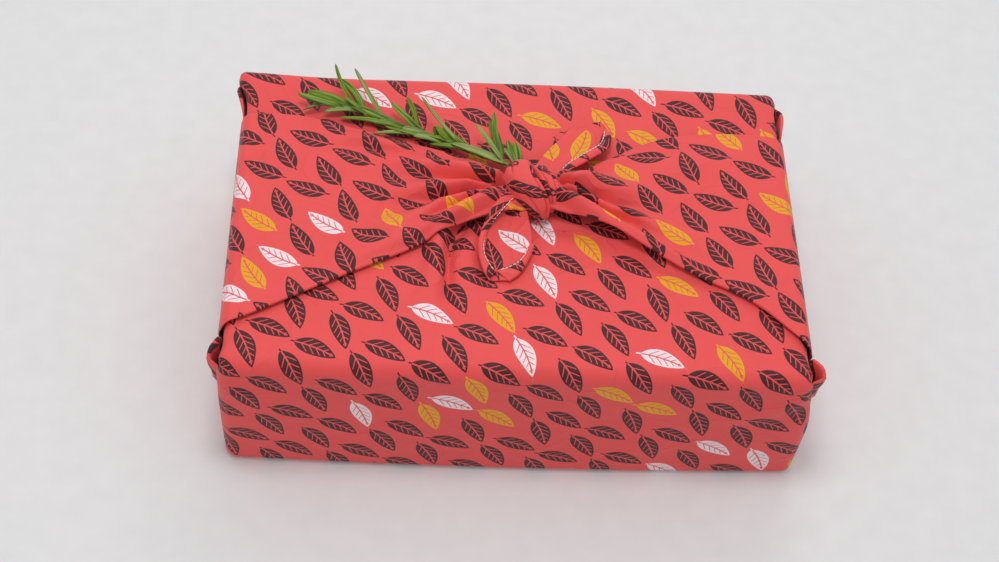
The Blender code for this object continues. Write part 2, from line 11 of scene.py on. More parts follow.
import bmesh
import bpy
import numpy as np
from mathutils import Matrix, Vector


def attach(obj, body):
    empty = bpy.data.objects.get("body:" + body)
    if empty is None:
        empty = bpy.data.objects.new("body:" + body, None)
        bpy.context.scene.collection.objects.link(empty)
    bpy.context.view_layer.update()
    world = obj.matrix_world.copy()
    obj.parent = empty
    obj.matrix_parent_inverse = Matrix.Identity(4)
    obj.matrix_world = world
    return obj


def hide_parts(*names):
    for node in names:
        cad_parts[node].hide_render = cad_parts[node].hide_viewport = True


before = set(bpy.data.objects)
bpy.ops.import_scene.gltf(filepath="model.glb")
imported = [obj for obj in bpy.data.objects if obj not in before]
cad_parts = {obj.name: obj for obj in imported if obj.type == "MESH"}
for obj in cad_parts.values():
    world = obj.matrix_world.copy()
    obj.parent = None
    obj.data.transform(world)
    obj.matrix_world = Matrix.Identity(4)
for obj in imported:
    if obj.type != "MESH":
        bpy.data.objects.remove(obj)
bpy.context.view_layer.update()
MM = 0.001


def table(columns, *rows):
    """Rows with named columns."""
    row_kind = namedtuple("Row", columns)
    return [row_kind(*row) for row in rows]


# ---------------------------------------------------------------- driving sizes, as in the model
WIDTH = 0.262
DEPTH = 0.1735
FLAP_TOP = 0.0765
CLOTH = 0.0007              # thickness of the cloth
PITCH = 0.0015              # from the middle of one folded layer to the next
CORNER_RADIUS = 0.005
EDGE_RISE = 0.0070          # height of the soft round at the top edges
FOOT_RADIUS = 0.003         # round of the bottom edges
FLAT_SIDE = 0.60            # side of the flat square of cloth

HALF_W = (WIDTH - CLOTH) / 2
HALF_D = (DEPTH - CLOTH) / 2
FLAP_Z = FLAP_TOP - CLOTH / 2
WALL_TOP = FLAP_Z - EDGE_RISE
WING_Z = FLAP_Z + 2 * PITCH
KNOT_X, KNOT_Y = 0.006, 0.0075
UP = np.array((0, 0, 1.0))
QUARTER = math.pi / 2

# Counts of columns and rows
FLAP_COLUMNS = 112
FLAP_ROWS, FLAP_TUCK_ROWS = 50, 9
BACK_ROWS, BACK_TUCK_ROWS = 44, 4
WING_COLUMNS = 76
WING_ROWS = 100
WALL_ROWS = 16
FOOT_STEPS = 5
ROUND_STEPS = 7             # rows of a top edge's round
FOLD_STEPS = 5              # rows of a flap's fold
EAR_ARC = 8                 # columns of a round corner
EAR_SIDE = 11               # columns of an ear along the end wall
EAR_TUCK_ARC, EAR_TUCK_ROWS = 4, 5
UNDERSIDE_ROWS = 11
TURN_COLUMNS = 7
ROLL_STEPS = 4
BAND_ROWS, BAND_COLUMNS = 84, 48
TAIL_ROWS = 72
TAIL_COLUMNS = 40
HEM_COLUMNS, HEM_ARC = 8, 5
LEAF_ROWS, LEAF_COLUMNS = 18, 12
STEM_RINGS, STEM_SIDES = 49, 11
THREAD_SIDES = 6

# ---------------------------------------------------------------- walls and corners
FRONT_BOW = 0.0022          # how far the foot of the front wall bows out in its middle
FRONT_BOW_TOP = 0.060       # height at which the bow has gone
CORNER_FLARE = 0.0036       # how far the foot of the right front corner stands out sideways
FLARE_REACH = 0.075         # how far back along the end wall
FLARE_FROM = 0.7            # share of the half width where it starts
SIDE_BULGE = 0.0008         # how far the walls stand out at half height
CLEAR_TOP = 0.012           # the walls' folds fade out over this stretch below the top
CLEAR_FOOT = 0.008          # and over this one above the foot
WING_SPAN = {"right": (-0.069, 0.053), "left": (-0.066, 0.056)}
WING_PROUD = 0.0007         # the wings' cloth lies over the corners' cloth on the end walls
CORNER_SUNK = 0.0003        # how far the corners' cloth lies in, over the stretch below
CORNER_SUNK_OVER = 0.004
PLEAT_FOOT = 0.003          # where the end walls' diagonal folds start, past the bottom corners
FOLD_EDGE = (0, 0.0003, 0.0008, 0.0015)    # places of a wing's first columns, in from its folded edge

# The ears are the folded corners that stand out beside the wings, at the top of the end walls
EAR_RISE = 0.0052
EAR_RISE_IN, EAR_RISE_OUT = 0.45, 0.3      # shares of the ear over which it rises and falls
EAR_OUT = 0.0034            # how far an ear of size 1 stands out
EAR_DEPTH = 0.017           # and how far down it reaches
EAR_PEAK = 0.15             # where along its fold an ear stands out most
EAR_CROWD = 1.4             # crowds an ear's columns towards its corner
EAR_SIZE = {"ear_front_left": 1.35, "ear_front_right": 1.7, "ear_back_left": 0.6, "ear_back_right": 0.9}
EAR_TUCK = 0.014            # how far the ear's inner layer runs down inside the pleat
EAR_TUCK_GAP = 0.0011       # between the ear and this layer
EAR_TUCK_LEAN = 0.06        # how far it leans in on its way down
EAR_TUCK_SPREAD = 1.6       # widens it against the ear
EAR_TUCK_TAKEN = 0.0005     # length of cloth that the fold takes

# Soft unevenness: height of the bumps in millimetres, their size in metres, and a number that shifts them.
# It is the sum of waves that run in the four ways below
WALL_WAVES, FLAP_WAVES, WING_WAVES = table(
    "height size seed", (0.3, 0.055, 0), (0.25, 0.075, 0.7), (0.2, 0.05, 2.1))
WAVE_WAYS = table("u v pitch phase seed", (0.92, 0.39, 1, 1.3, 1), (-0.47, 1.08, 1, 4.1, 2),
                  (0.71, -0.83, 1.31, 0.4, 3), (0.18, 0.62, 0.77, 2.2, 5))

# Every fold is a line of points: along and up the wall, or x and y, then the height of the ridge (a trough
# below 0) and half its width
WALL_FOLDS = {
    "front": [
        [(130, 68, 1, 3.5), (112, 53, 0.9, 5), (92, 45, 0, 7)],
        [(130, 58, -0.7, 4), (116, 44, -0.6, 5), (100, 38, 0, 6)],
        [(-130, 66, 0.8, 4), (-119, 50, 0.6, 5), (-100, 40, 0, 7)],
        [(-70, 74, 0, 5), (-64, 50, 0.4, 9), (-50, 14, 0, 12)],
        [(30, 72, 0, 6), (42, 45, -0.4, 9), (60, 12, 0, 12)],
    ],
    "back": [
        [(-120, 66, 0.9, 4), (-96, 46, 0.5, 6), (-70, 38, 0, 8)],
        [(118, 64, 0.8, 4), (90, 48, 0.5, 7), (66, 40, 0, 9)],
        [(-20, 70, 0, 6), (-8, 40, 0.5, 10), (10, 12, 0, 12)],
    ],
    "right": [
        [(-56, 66, -0.8, 4), (-30, 40, -0.6, 7), (-12, 16, 0, 9)],
        [(44, 66, -0.8, 4), (20, 38, -0.6, 7), (0, 16, 0, 9)],
        [(-8, 70, 0.5, 8), (-4, 30, 0.6, 12), (0, 6, 0, 14)],
    ],
    "left": [
        [(-52, 66, -0.8, 4), (-26, 40, -0.6, 7), (-8, 16, 0, 9)],
        [(46, 66, -0.8, 4), (24, 38, -0.6, 7), (6, 16, 0, 9)],
        [(2, 70, 0.5, 8), (0, 30, 0.6, 12), (4, 6, 0, 14)],
    ],
}
FOLD_ROUND = 0.0008         # how round a trough's bottom is
FOLD_SHARPNESS = 1.6        # and how steeply its sides close in on it

# Where the wrap stands out from the box: centre, push and reach, in millimetres
PUFFS = table(
    "at push reach",
    ((30, 86, 76), (0, 1.5, 1.5), (150, 12, 18)),
    ((-127, 86, 77), (-4.2, 0.8, 1.9), (26, 13, 16)),
    ((-131, 87, 78), (-1.8, 0.2, 0.2), (9, 9, 10)),
)

# ---------------------------------------------------------------- flaps
FRONT_FOLD_Y = 0.021
FRONT_TUCK_Y = -0.078
FRONT_LIP_END = (0.026, 0.044)
BACK_FOLD_Y = -0.050
BACK_TUCK_Y = 0.060
BACK_LIP_END = (0.030, 0.048)
BACK_STEP = (0.025, 0.043)
# The flaps' cloth down their sides; past the corner, over this stretch, it draws in to the narrow share
SIDE_LIP = {"radius": 4.3, "down": 12, "steps": 5, "narrow": 0.72, "narrow_from": 6, "narrow_over": 7}
LIP_TAKEN = 0.8             # share of the lips' reach that they take of the flat cloth
RELIEF_ROWS = 6             # rows over which a flap's creases set in
TUCK_WIDTH = 0.93           # width of the layer tucked under a flap, as a share of the flap's
FRONT_TUCK_RELIEF = 0.67    # share of the creases that this layer follows
PRESSED_RELIEF = 0.33       # and the back flap, where it lies under the front one
PRESSED_OVER = 0.02         # past the front flap's fold it comes back over this stretch
# Lines of points as above: beside and below the tail, and along the right wing's front edge
FLAP_CREASES = [
    [(-20, 4, -2.6, 4.5), (-25, -6, -3, 3.8), (-30.5, -15, -3.6, 3.2), (-31.5, -26, -3.4, 3.4),
     (-31.5, -38, -2.6, 4.2), (-32.5, -50, -1.4, 6), (-29, -64, 0, 7)],
    [(-31, -2, 4, 5.5), (-36, -11, 4.6, 5.8), (-37, -22, 3.6, 6.2), (-38, -34, 2.2, 7.4),
     (-42, -54, 0, 10)],
    [(-21, -14, 1.6, 5), (-23, -26, 2, 7), (-23, -40, 1.2, 9), (-22, -58, 0, 10)],
    [(4, 0, -2.2, 6), (14, -4, -2.2, 6), (26, -5, -1.6, 6), (38, -9, -0.6, 6), (48, -14, -0.6, 6),
     (62, -23, -1.6, 6), (78, -31, -1.4, 6), (94, -40, 0, 7)],
]
# The flaps' columns crowd together round the creases: share along the flap, spread and extra density
CROWD_AT, CROWD_SPREAD, CROWD_EXTRA = 0.375, 0.07, 2.6
CROWD_SAMPLES = 600

# ---------------------------------------------------------------- wings
# away: distance from the middle line X = 0; front and back: Y of the two edges
WING_EDGES = {
    "left": table("away front back", (130.5, -66, 56), (105, -51.5, 56), (76, -35, 49), (50, -21, 41),
                  (28, -7.5, 34), (11, -1.5, 23), (1, 1, 16), (-6, 2, 14)),
    "right": table("away front back", (130.5, -69, 53), (109, -46, 55), (84, -31, 53), (64, -19.5, 47),
                   (43, -8.5, 34), (28, -1.5, 24), (21, 0.5, 19), (15, 2, 16), (8, 3, 14)),
}
WING_FOLDS = {
    "left": [
        [(-7, 16.5, -2.6, 1.8), (-20, 18.3, -3, 2.6), (-36, 21.8, -2, 4), (-52, 21, -1, 7),
         (-68, 20, 0, 9)],
        [(-7, 15, -2.4, 1.6), (-20, 12.3, -3.4, 2.2), (-37, 7.9, -3.4, 3), (-45, 5.7, -2.8, 6),
         (-56, 2.2, -2.2, 9), (-68, 0.5, -1.5, 10), (-80, 0, -0.9, 11), (-108, -2, 0, 12)],
        [(-12, 11, -1.4, 1.4), (-18, 7.5, -1.8, 1.8), (-30, 2.2, -1.4, 2.8), (-46, -6, 0, 4)],
        [(-16, 9, 1.2, 2.2), (-37, 2.5, 1.8, 4.5), (-55, -7, 1.5, 8), (-86, -22, 0, 13)],
        [(-12, 14.6, 1.2, 1.6), (-28, 13.5, 1.5, 2.4), (-40, 14.5, 1.3, 4), (-60, 12, 0.6, 7),
         (-82, 12, 0, 10)],
        [(-12, 6.5, 2.2, 3.2), (-25, -1.2, 2.6, 3.6), (-38, -9.5, 2, 4.4), (-55, -20, 1, 6),
         (-90, -38, 0, 7)],
        [(-10, 20, 1.4, 2.2), (-28, 25, 1.5, 4), (-50, 30, 1.1, 7), (-80, 34, 0.5, 10), (-110, 36, 0, 12)],
        [(-30, 30.5, -0.9, 2.5), (-51, 35, -1.3, 4), (-80, 38, -0.9, 5), (-112, 38, 0, 6)],
        [(-42, 36, 0.6, 3), (-54, 38.5, 1.5, 4), (-68, 42.5, 1.3, 4.5), (-84, 47, 0, 5)],
        [(-70, -14, -0.7, 6), (-92, -26, -0.6, 8), (-118, -36, 0, 8)],
        [(-88, 18, -0.6, 8), (-118, 20, -0.3, 10)],
    ],
    "right": [
        [(20, 17, -2.4, 1.6), (34, 11.8, -3, 2.6), (45, 8.1, -2.8, 4.5), (60, 6.5, -1.9, 8),
         (75, -1, -1, 10), (98, -10, 0, 12)],
        [(21, 10.5, -2.6, 1.6), (38, 5, -3.6, 2.4), (52, -2, -3.4, 3.4), (66, -10.8, -2.6, 4.6),
         (83, -23, -1.3, 6), (104, -36, 0, 7)],
        [(20, 7.5, 2.4, 2.8), (33, -0.5, 3, 3.6), (46, -9, 3.2, 4.4), (60, -16.5, 2.8, 5),
         (74, -24, 1.8, 6), (96, -34, 0.3, 6)],
        [(20, 20, 2, 2.2), (34, 20.3, 1.9, 3.6), (50, 16, 1.1, 6), (72, 12, 0, 9)],
        [(24, 13.6, 1.5, 1.6), (36, 8.6, 1.9, 2.2), (52, 3, 1.5, 3.6), (74, -6, 0, 6)],
        [(22, 23.5, -1.6, 1.6), (36, 27, -1.3, 3.6), (58, 32, 0, 7)],
        [(64, 28, 0.5, 6), (86, 34, 0.7, 9), (118, 36, 0, 10)],
        [(84, 10, -0.6, 8), (112, 6, -0.4, 10), (128, 4, 0, 10)],
    ],
}
FOLD_DEPTH = 2.3            # share by which the wings' folds are deepened
FOLD_WIDTH = 1.3            # and widened
KNOT_RISE = 0.0072          # how far the wings rise to the knot
RISE_REACH = 0.066          # from this distance on
KNOT_SINK = 0.006           # inside the knot they run down, out of sight
KNOT_INNER = 0.013          # within this distance
EDGE_DROOP = 0.75           # how far a wing's edge bends down to the flap, as a share of its height over it
EDGE_REACH = 0.0055         # over this width
EDGE_LOW = 0.0024           # height over the flap's middle that the droop is measured from
EDGE_OPEN = 0.22            # beside the knot the droop is only this share of itself, so the edge gapes
OPEN_REACH = {"left": (0.030, 0.050), "right": (0.040, 0.082)}     # distances over which the gape closes
FLOOR_GAP = 0.0010          # the least height over the flap's middle
FLOOR_SOFT = 0.0016         # how softly a wing comes to lie on the flap below it
# Fine gathers that run out of the knot, in two sets of waves round it
RIPPLES = {"count": 30, "bend": 7, "fine_count": 55.5, "fine_share": 0.6, "fine_phase": 1, "height": 0.32,
           "from": 12, "over": 10, "reach": 46}
WING_ROUND = 0.005          # radius of the wings' top edges
ROW_CROWD = 1.15            # crowds a wing's rows towards the knot
UNEVEN_OVER = 0.02          # from the end wall on, the wing's unevenness sets in over this stretch
TURN_WIDTH = 0.026          # width of the cloth turned under at a wing's edge
TURN_SHARE = 0.36           # and its most, as a share of the wing's width
TURN_GAP = 0.0011           # the turned layer below the wing
TURN_FLOOR = 0.0008         # its least height over the flap's middle
TURN_CLEAR = 0.0048         # and how far it stays inside the end walls
TURN_FROM, TURN_OVER = 0.003, 0.014        # distances from the end wall where the turned layer sets in
THINNEST_ROLL = 0.02        # least share of the folded edge's radius
# The gathers hold this extra share of cloth near the knot; it sets in at this distance, over this stretch
GATHER_EXTRA, GATHER_FROM, GATHER_OVER = 0.9, 0.085, 0.075

# ---------------------------------------------------------------- knot and tails
# Control points in rows, with heights above the flaps
KNOT_CORE = {"at": (7.5, 12, 7), "half": (8, 10, 5.5), "segments": 48, "rings": 24, "print_side": 0.05}
MAIN_BAND = table(
    "left crest right",
    ((-2, 27.5, 1.5), (2, 29, 2), (6, 27.5, 1.5)),
    ((-4, 25.5, 8), (1, 27, 10.5), (6, 25.5, 10)),
    ((-4.9, 20.5, 13.5), (0.1, 20.5, 17), (5.3, 19.9, 16.5)),
    ((-6, 14.8, 12), (0, 13.5, 17.5), (6.9, 13.3, 17.5)),
    ((-3.7, 9.4, 9.5), (3.2, 6.9, 16.5), (10.1, 7.2, 17)),
    ((1.5, 4.1, 7.5), (7.4, 2.1, 14), (12.9, 2.3, 14.5)),
    ((5.8, -0.3, 4.5), (10.5, -1.6, 9.5), (14.7, -0.6, 9.5)),
    ((8.9, -1.2, 1.5), (11.3, -2.6, 3.5), (14.1, -1.3, 4)),
)
SIDE_BAND = table(
    "left crest right",
    ((8, 26.5, 2), (11, 27.5, 2.5), (14, 26, 2)),
    ((7, 24, 9), (10.5, 25, 10), (14, 23.5, 8.5)),
    ((6.8, 18.8, 14), (10, 18.7, 15.5), (14.3, 18, 13)),
    ((9.4, 13.1, 14.5), (13.5, 13.6, 16), (18, 15, 12.5)),
    ((12.7, 7.1, 12.5), (15.9, 7.6, 14), (19.9, 9.9, 10)),
    ((14.4, 3.7, 8), (16.9, 3.4, 9.5), (19.8, 6, 6)),
    ((14, 2.4, 3), (16.6, 2.3, 3.5), (18.6, 4.4, 2.5)),
)
# Places on the flat cloth where the straps' print starts
MAIN_FLAT, SIDE_FLAT = (0.008, 0.048), (0.33, 0.05)
BAND_TUCK = 3.6             # how far the bands' edges run down out of sight
BAND_TUCK_IN = 0.35         # and in, as a share of the way to the crest
SHOULDER_IN = 0.42          # place of a band's shoulders on that way
SHOULDER_LIFT = (0.7, 0.22)     # their lift off it, and the share of the crest's height that is added
BAND_WAVES = {"height": 0.18, "across": 9, "along": (5, 7)}
MAIN_CREASES = table("across along depth half", ((0.27, 0.36), (0.05, 0.46), 1.9, 0.06),
                     ((0.80, 0.66), (0.20, 0.98), 1.1, 0.06), ((0.30, 0.44), (0.55, 1), 0.7, 0.08))
SIDE_CREASES = table("across along depth half", ((0.40, 0.36), (0.08, 0.98), 2, 0.08),
                     ((0.66, 0.60), (0.20, 0.98), 1.5, 0.07))
CREASE_FADE = 0.08          # share of a strap's length over which a crease sets in
CREASE_SHARPNESS = 1.5
# left and right: the tail's edges; hem: the inner edge of the hem turned over from the left edge
FRONT_TAIL = table(
    "hem left middle right",
    ((0.7, 8.3, 8), (-5.4, 10.6, 8), (-0.7, 8.4, 6), (3.5, 4.1, 5)),
    ((-3.2, 3.5, 8.5), (-9.2, 2.6, 9), (-3, 2, 3.8), (4.8, -1.2, 5.5)),
    ((-9.4, -5.2, 8), (-13, -5, 9), (-4.8, -5.4, 2.6), (5.6, -7.6, 5.8)),
    ((-13.9, -12.8, 7.2), (-16, -13, 8), (-6.2, -12.8, 2), (6.4, -14.8, 5.5)),
    ((-15.6, -20, 6.8), (-17.3, -19.9, 6.6), (-6.2, -19.1, 2), (5.9, -20.9, 4.5)),
    ((-14.9, -25.4, 5), (-16.8, -26.3, 4.6), (-7.1, -25.7, 1.8), (3.6, -27.1, 3.2)),
    ((-12.2, -29.8, 3.4), (-15, -32.4, 3), (-8.1, -31.3, 1.6), (0, -32.8, 2.2)),
    ((-10, -32.2, 3), (-12.6, -36.4, 1.9), (-8.6, -36.6, 1.5), (-4.5, -36.5, 1.7)),
)
# Inner edge of the hem turned over from the right edge, and the share of the tail where it starts
FRONT_TAIL_HEM = [(5.6, -18.6, 5.3), (4.4, -20.6, 5.2), (3.4, -23, 4.8), (0.8, -26.6, 4),
                  (-3.2, -29.4, 3.4), (-10, -32.2, 3)]
SECOND_HEM_FROM = 0.52
BACK_TAIL = table(
    "hem right middle left",
    ((18.7, 20.6, 8.2), (8.8, 25.4, 9), (13.5, 22.8, 8), (19.2, 19, 7)),
    ((23, 27, 8.7), (11.4, 31.3, 8), (18.2, 29.7, 6), (24.9, 24.6, 8)),
    ((29.3, 32.2, 8.9), (17, 39.8, 6.5), (24.7, 37.7, 5), (31.2, 29.8, 8)),
    ((35.3, 37.4, 8.5), (22.5, 47.4, 6), (31.1, 44.3, 5), (37.2, 34.9, 7.5)),
    ((39.5, 41.5, 7.6), (27.1, 53.2, 5.5), (36.7, 50.3, 5), (41.8, 39.1, 6.5)),
    ((41.6, 47, 7), (34.8, 55.8, 6), (41.1, 53, 5.5), (44.5, 44.8, 6)),
    ((42, 52, 6.8), (41, 56.9, 6.3), (43, 54.6, 6.1), (44.7, 50.9, 6)),
)
TAIL_SAG = {"share": 0.42, "down": 0.9}     # a point between the left edge and the middle, and its drop
TAIL_WAVES = {"height": 0.16, "along": 17, "across": 3}
HEM_ROLL = 0.55             # radius of the fold at a hem's edge
HEM_PUFF = 0.5              # how far a hem stands up between its fold and its seam
HEM_TAPER = {"over": 0.07, "least": 0.15}
STITCH = {"length": 1.7, "gap": 0.25, "radius": 0.2, "lift": 0.4, "skip": 7, "inset": 0.7}
# One stitch from end to end: shares of its length and radius, and its drop into the cloth
STITCH_FORM = table("along drop radius", (0, 0.25, 0.3), (0.08, 0.05, 0.8), (0.3, 0, 1), (0.7, 0, 1),
                    (0.92, 0.05, 0.8), (1, 0.25, 0.3))

# ---------------------------------------------------------------- rosemary
STEM = table("x y z radius", (1, 27.5, 4.6, 1.1), (-31, 42.8, 2, 1), (-56, 54.2, 1.8, 0.9),
             (-79, 63.4, 2.2, 0.7))
# Each leaf goes from a place along the stem to its tip. pale is 1 where its underside shows
LEAVES = table(
    "at tip width bend pale",
    (0.99, (-104.6, 66.2, 8), 4, 1.5, 0),
    (0.98, (-101.9, 59.4, 4), 3.9, -2, 1),
    (0.97, (-87.2, 77, 18), 1.7, 1.5, 0),
    (0.90, (-84.3, 74.9, 10), 3.5, -1.2, 0),
    (0.76, (-77.9, 77.5, 15), 2.2, 1.2, 1),
    (0.63, (-84.2, 56.7, 3), 3.7, 0, 0),
    (0.67, (-77.7, 62.1, 6), 3.5, 0.8, 0),
    (0.66, (-73.7, 58.7, 5), 2.8, -0.8, 0),
    (0.49, (-67.8, 46.5, 3.8), 3.5, 0.6, 1),
    (0.48, (-59.8, 61.3, 10), 4, 0.8, 0),
    (0.53, (-52.3, 61.2, 14), 2.3, -0.8, 0),
    (0.40, (-39.2, 48.8, 8), 2.5, 0.3, 0),
    (0.39, (-62.5, 50.7, 4.5), 2.9, 1.2, 0),
    (0.34, (-49, 45.4, 4.8), 3.8, 0.3, 1),
    (0.26, (-34.9, 49.5, 6), 3.1, 0.4, 0),
    (0.24, (-45.6, 60.1, 16), 1.9, 2.6, 1),
    (0.18, (-51.5, 49.8, 2.8), 3.2, -0.6, 0),
    (0.08, (-12.8, 50, 11), 3.8, -0.6, 0),
    (0.09, (-11, 53.8, 14), 2.9, 0.8, 0),
    (0.07, (-19.8, 46.9, 13), 2.9, 0.6, 1),
    (0.06, (-31, 39.9, 6), 4.8, 1, 1),
    (0.06, (-41.1, 41.6, 3.4), 2.6, -1.2, 0),
    (0.01, (-6.3, 33.1, 12), 1.8, 0.3, 1),
    (0.00, (-4.1, 41.8, 8), 4.2, 0.5, 0),
    (0.00, (-0.7, 41.5, 7), 4, -0.5, 0),
    (0.95, (-99.9, 67.2, 9), 3.6, -1, 0),
    (0.88, (-91.9, 58.6, 4), 3.2, -1.2, 1),
    (0.80, (-79.6, 61.7, 7), 3.6, 0.6, 0),
    (0.58, (-68.8, 53.6, 4.5), 3.4, -0.6, 0),
    (0.30, (-38.3, 47.1, 10), 3, 0.6, 0),
    (0.22, (-30.6, 44.2, 8), 3, -0.4, 0),
    (0.85, (-82.1, 64, 10), 3.2, 0.8, 0),
    (0.44, (-54.4, 50.3, 4), 3.2, 0.4, 1),
    (0.14, (-25.7, 40.4, 4), 3, 0.5, 0),
)
LEAF_ARCH = 0.07            # rise of a leaf's middle, as a share of its length
LEAF_FOOT = (0.35, 3.2)     # width at the foot as a share of the full one, and how fast it grows
LEAF_TIP = {"power": 6, "least": 0.04}
LEAF_GROOVE = {"depth": 0.30, "width": 0.16}
LEAF_CURL = (0.5, 0.1)      # drop of the edges: the steep part and the gentle one
LEAF_RELIEF = 0.8
LEAF_ROLL = {"most": 0.5, "spacing": 1.7, "foot": 0.3}
LEAF_THICKNESS = 0.0004
LEAF_FLAT = {"spacing": 0.1, "half": 0.002}    # places of the leaves on their UV map, for the streaks

# ---------------------------------------------------------------- colours, print and stage
# The print's sizes are in millimetres on the flat cloth
MOTIF_COLUMN = 21.5         # between columns of leaves
MOTIF_ROW = 14.3            # between leaves in a column
MOTIF_LEAN = {"degrees": 17, "spread": 0.35}
# A printed leaf; the ends of its lines are shares of its half length from its middle
MOTIF_LEAF = {"length": 20, "half": 4.1, "bend": 0.9, "blunt": 0.75, "slimmer_tip": 0.28}
VEIN = {"pitch": 3.4, "slope": 1.15, "half": 0.09, "inset": 0.75}
MIDRIB = {"half": 0.34, "end": 0.86}
STALK = {"half": 0.36, "from": 0.97, "end": 1.3}
INK_EDGE = 0.12             # softness of the printed edges
LINE_EDGE, VEIN_EDGE, END_EDGE = 0.1, 0.03, 0.02
CHANCE_EDGE = 0.001
THREAD_PITCH = 0.00045      # between the weave's threads, in metres
WEAVE_SHARE = 0.10          # share of the weave in the cloth's relief
RIDGE = {"sharpness": 14, "height": 1.2}      # fine creases in the cloth
MOTTLE = (0.94, 1.05)       # darkest and brightest ground, as shares of its colour
YELLOW_FROM, WHITE_FROM = 0.83, 0.925      # leaves whose random number is past these are yellow or white

# Camera, fitted to the box's outline for a frame 999 pixels wide
CAMERA = {"azimuth": -5.66, "elevation": 53.18, "roll": 6.45, "distance": 0.8607,
          "aim": (-0.0026, 0.021, 0)}
FOCAL_PX = 1700
FRAME_PX = 999
SENSOR_MM = 36
LIGHTS = table("name place size power", ("window_light", (-0.08, -0.04, 0.95), 0.22, 2.7),
               ("back_light", (0.25, 1, 1), 0.7, 2.7))
SKY = {"colour": (0.97, 0.985, 1, 1), "strength": 0.66}
FLOOR_SIDE = 6.0


# ---------------------------------------------------------------- helpers
def smooth(t):
    """0 to 1 with level ends, for numbers and arrays."""
    t = np.clip(t, 0.0, 1.0)
    return t * t * (3 - 2 * t)


def mix(a, b, t):
    return a + (b - a) * t


def steps_to(count):
    """Shares that lead up to 1 in this many steps, without the 0."""
    return np.arange(1, count + 1) / count


def through(values, t):
    """A smooth curve through numbers or rows of control points, at each t from 0 to 1."""
    values = np.asarray(values, float)
    padded = np.concatenate((2 * values[:1] - values[1:2], values, 2 * values[-1:] - values[-2:-1]))
    place = np.clip(t, 0, 1) * (len(values) - 1)
    i = np.minimum(place.astype(int), len(values) - 2)
    f = (place - i).reshape(-1, *([1] * (values.ndim - 1)))
    p0, p1, p2, p3 = padded[i], padded[i + 1], padded[i + 2], padded[i + 3]
    return 0.5 * (2 * p1 + (p2 - p0) * f + (2 * p0 - 5 * p1 + 4 * p2 - p3) * f * f
                  + (3 * p1 - p0 - 3 * p2 + p3) * f ** 3)


def unit(vectors, least=1e-9):
    """Vectors of length 1 along the last axis."""
    return vectors / np.maximum(np.linalg.norm(vectors, axis=-1, keepdims=True), least)


def waves(u, v, kind):
    """Soft unevenness in metres."""
    k = 2 * math.pi / kind.size
    total = sum(np.sin(k * way.pitch * (u * way.u + v * way.v) + way.phase + way.seed * kind.seed)
                for way in WAVE_WAYS)
    return kind.height * MM * total / 3


def fold_relief(line, x, y, widen=1.0):
    """Height that one folded line of points adds at each place: a sharp trough or a round ridge."""
    best = np.full(np.shape(x), np.inf)
    added = np.zeros(np.shape(x))
    for (ax, ay, ah, aw), (bx, by, bh, bw) in zip(line, line[1:]):
        dx, dy = (bx - ax) * MM, (by - ay) * MM
        share = np.clip(((x - ax * MM) * dx + (y - ay * MM) * dy) / (dx * dx + dy * dy), 0, 1)
        gap = np.hypot(x - ax * MM - share * dx, y - ay * MM - share * dy)
        gap = np.hypot(gap, FOLD_ROUND) - FOLD_ROUND
        reach = 1 - gap / (mix(aw, bw, share) * MM * widen)
        height = mix(ah, bh, share) * MM
        profile = np.where(height < 0, np.clip(reach, 0, 1) ** FOLD_SHARPNESS, smooth(reach))
        nearer = gap < best
        best = np.where(nearer, gap, best)
        added = np.where(nearer, height * profile, added)
    return added


def lengths_along(points):
    """Distance from the first row to each point, down the rows."""
    step = np.linalg.norm(np.diff(points, axis=0), axis=-1)
    return np.concatenate((np.zeros((1,) + step.shape[1:]), np.cumsum(step, axis=0)))


def lengths_across(points):
    """Distance from the first column to each point, along its row."""
    return np.swapaxes(lengths_along(np.swapaxes(points, 0, 1)), 0, 1)


def lift_to_flaps(points):
    """Places in millimetres over the flaps, in the frame."""
    return points * MM + FLAP_Z * UP


def tube(centre, across, upward, radius, sides):
    """Rings of points round a line of centres."""
    angle = np.linspace(0, 2 * math.pi, sides + 1)[None, :, None]
    ring = across[..., None, :] * np.cos(angle) + upward[..., None, :] * np.sin(angle)
    return centre[:, None] + ring * radius[:, None, None]


class Surface:
    """Collects grids of points with their places on the flat cloth, and makes one mesh of them."""

    def __init__(self):
        self.points = []
        self.flats = []
        self.faces = []
        self.count = 0

    def add(self, points, flat):
        """points: rows x columns x 3, flat: rows x columns x 2."""
        rows, columns = points.shape[:2]
        index = np.arange(rows * columns).reshape(rows, columns) + self.count
        quads = np.stack((index[:-1, :-1], index[:-1, 1:], index[1:, 1:], index[1:, :-1]), axis=-1)
        self.points.append(points.reshape(-1, 3))
        self.flats.append(flat.reshape(-1, 2))
        self.faces.append(quads.reshape(-1, 4))
        self.count += rows * columns

    def build(self, name, material, merge=1e-6, recalculate=True):
        points = np.concatenate(self.points)
        flats = np.concatenate(self.flats)
        faces = np.concatenate(self.faces)
        mesh = bpy.data.meshes.new(name)
        mesh.from_pydata(points.tolist(), [], faces.tolist())
        layer = mesh.uv_layers.new(name="flat")
        layer.data.foreach_set("uv", flats[faces.ravel()].astype(np.float32).ravel())
        bm = bmesh.new()
        bm.from_mesh(mesh)
        bmesh.ops.remove_doubles(bm, verts=bm.verts, dist=merge)
        bmesh.ops.dissolve_degenerate(bm, edges=bm.edges, dist=merge)
        if recalculate:
            bmesh.ops.recalc_face_normals(bm, faces=bm.faces)
        bm.to_mesh(mesh)
        bm.free()
        mesh.shade_smooth()
        mesh.materials.append(material)
        piece = bpy.data.objects.new(name, mesh)
        bpy.context.scene.collection.objects.link(piece)
        return piece


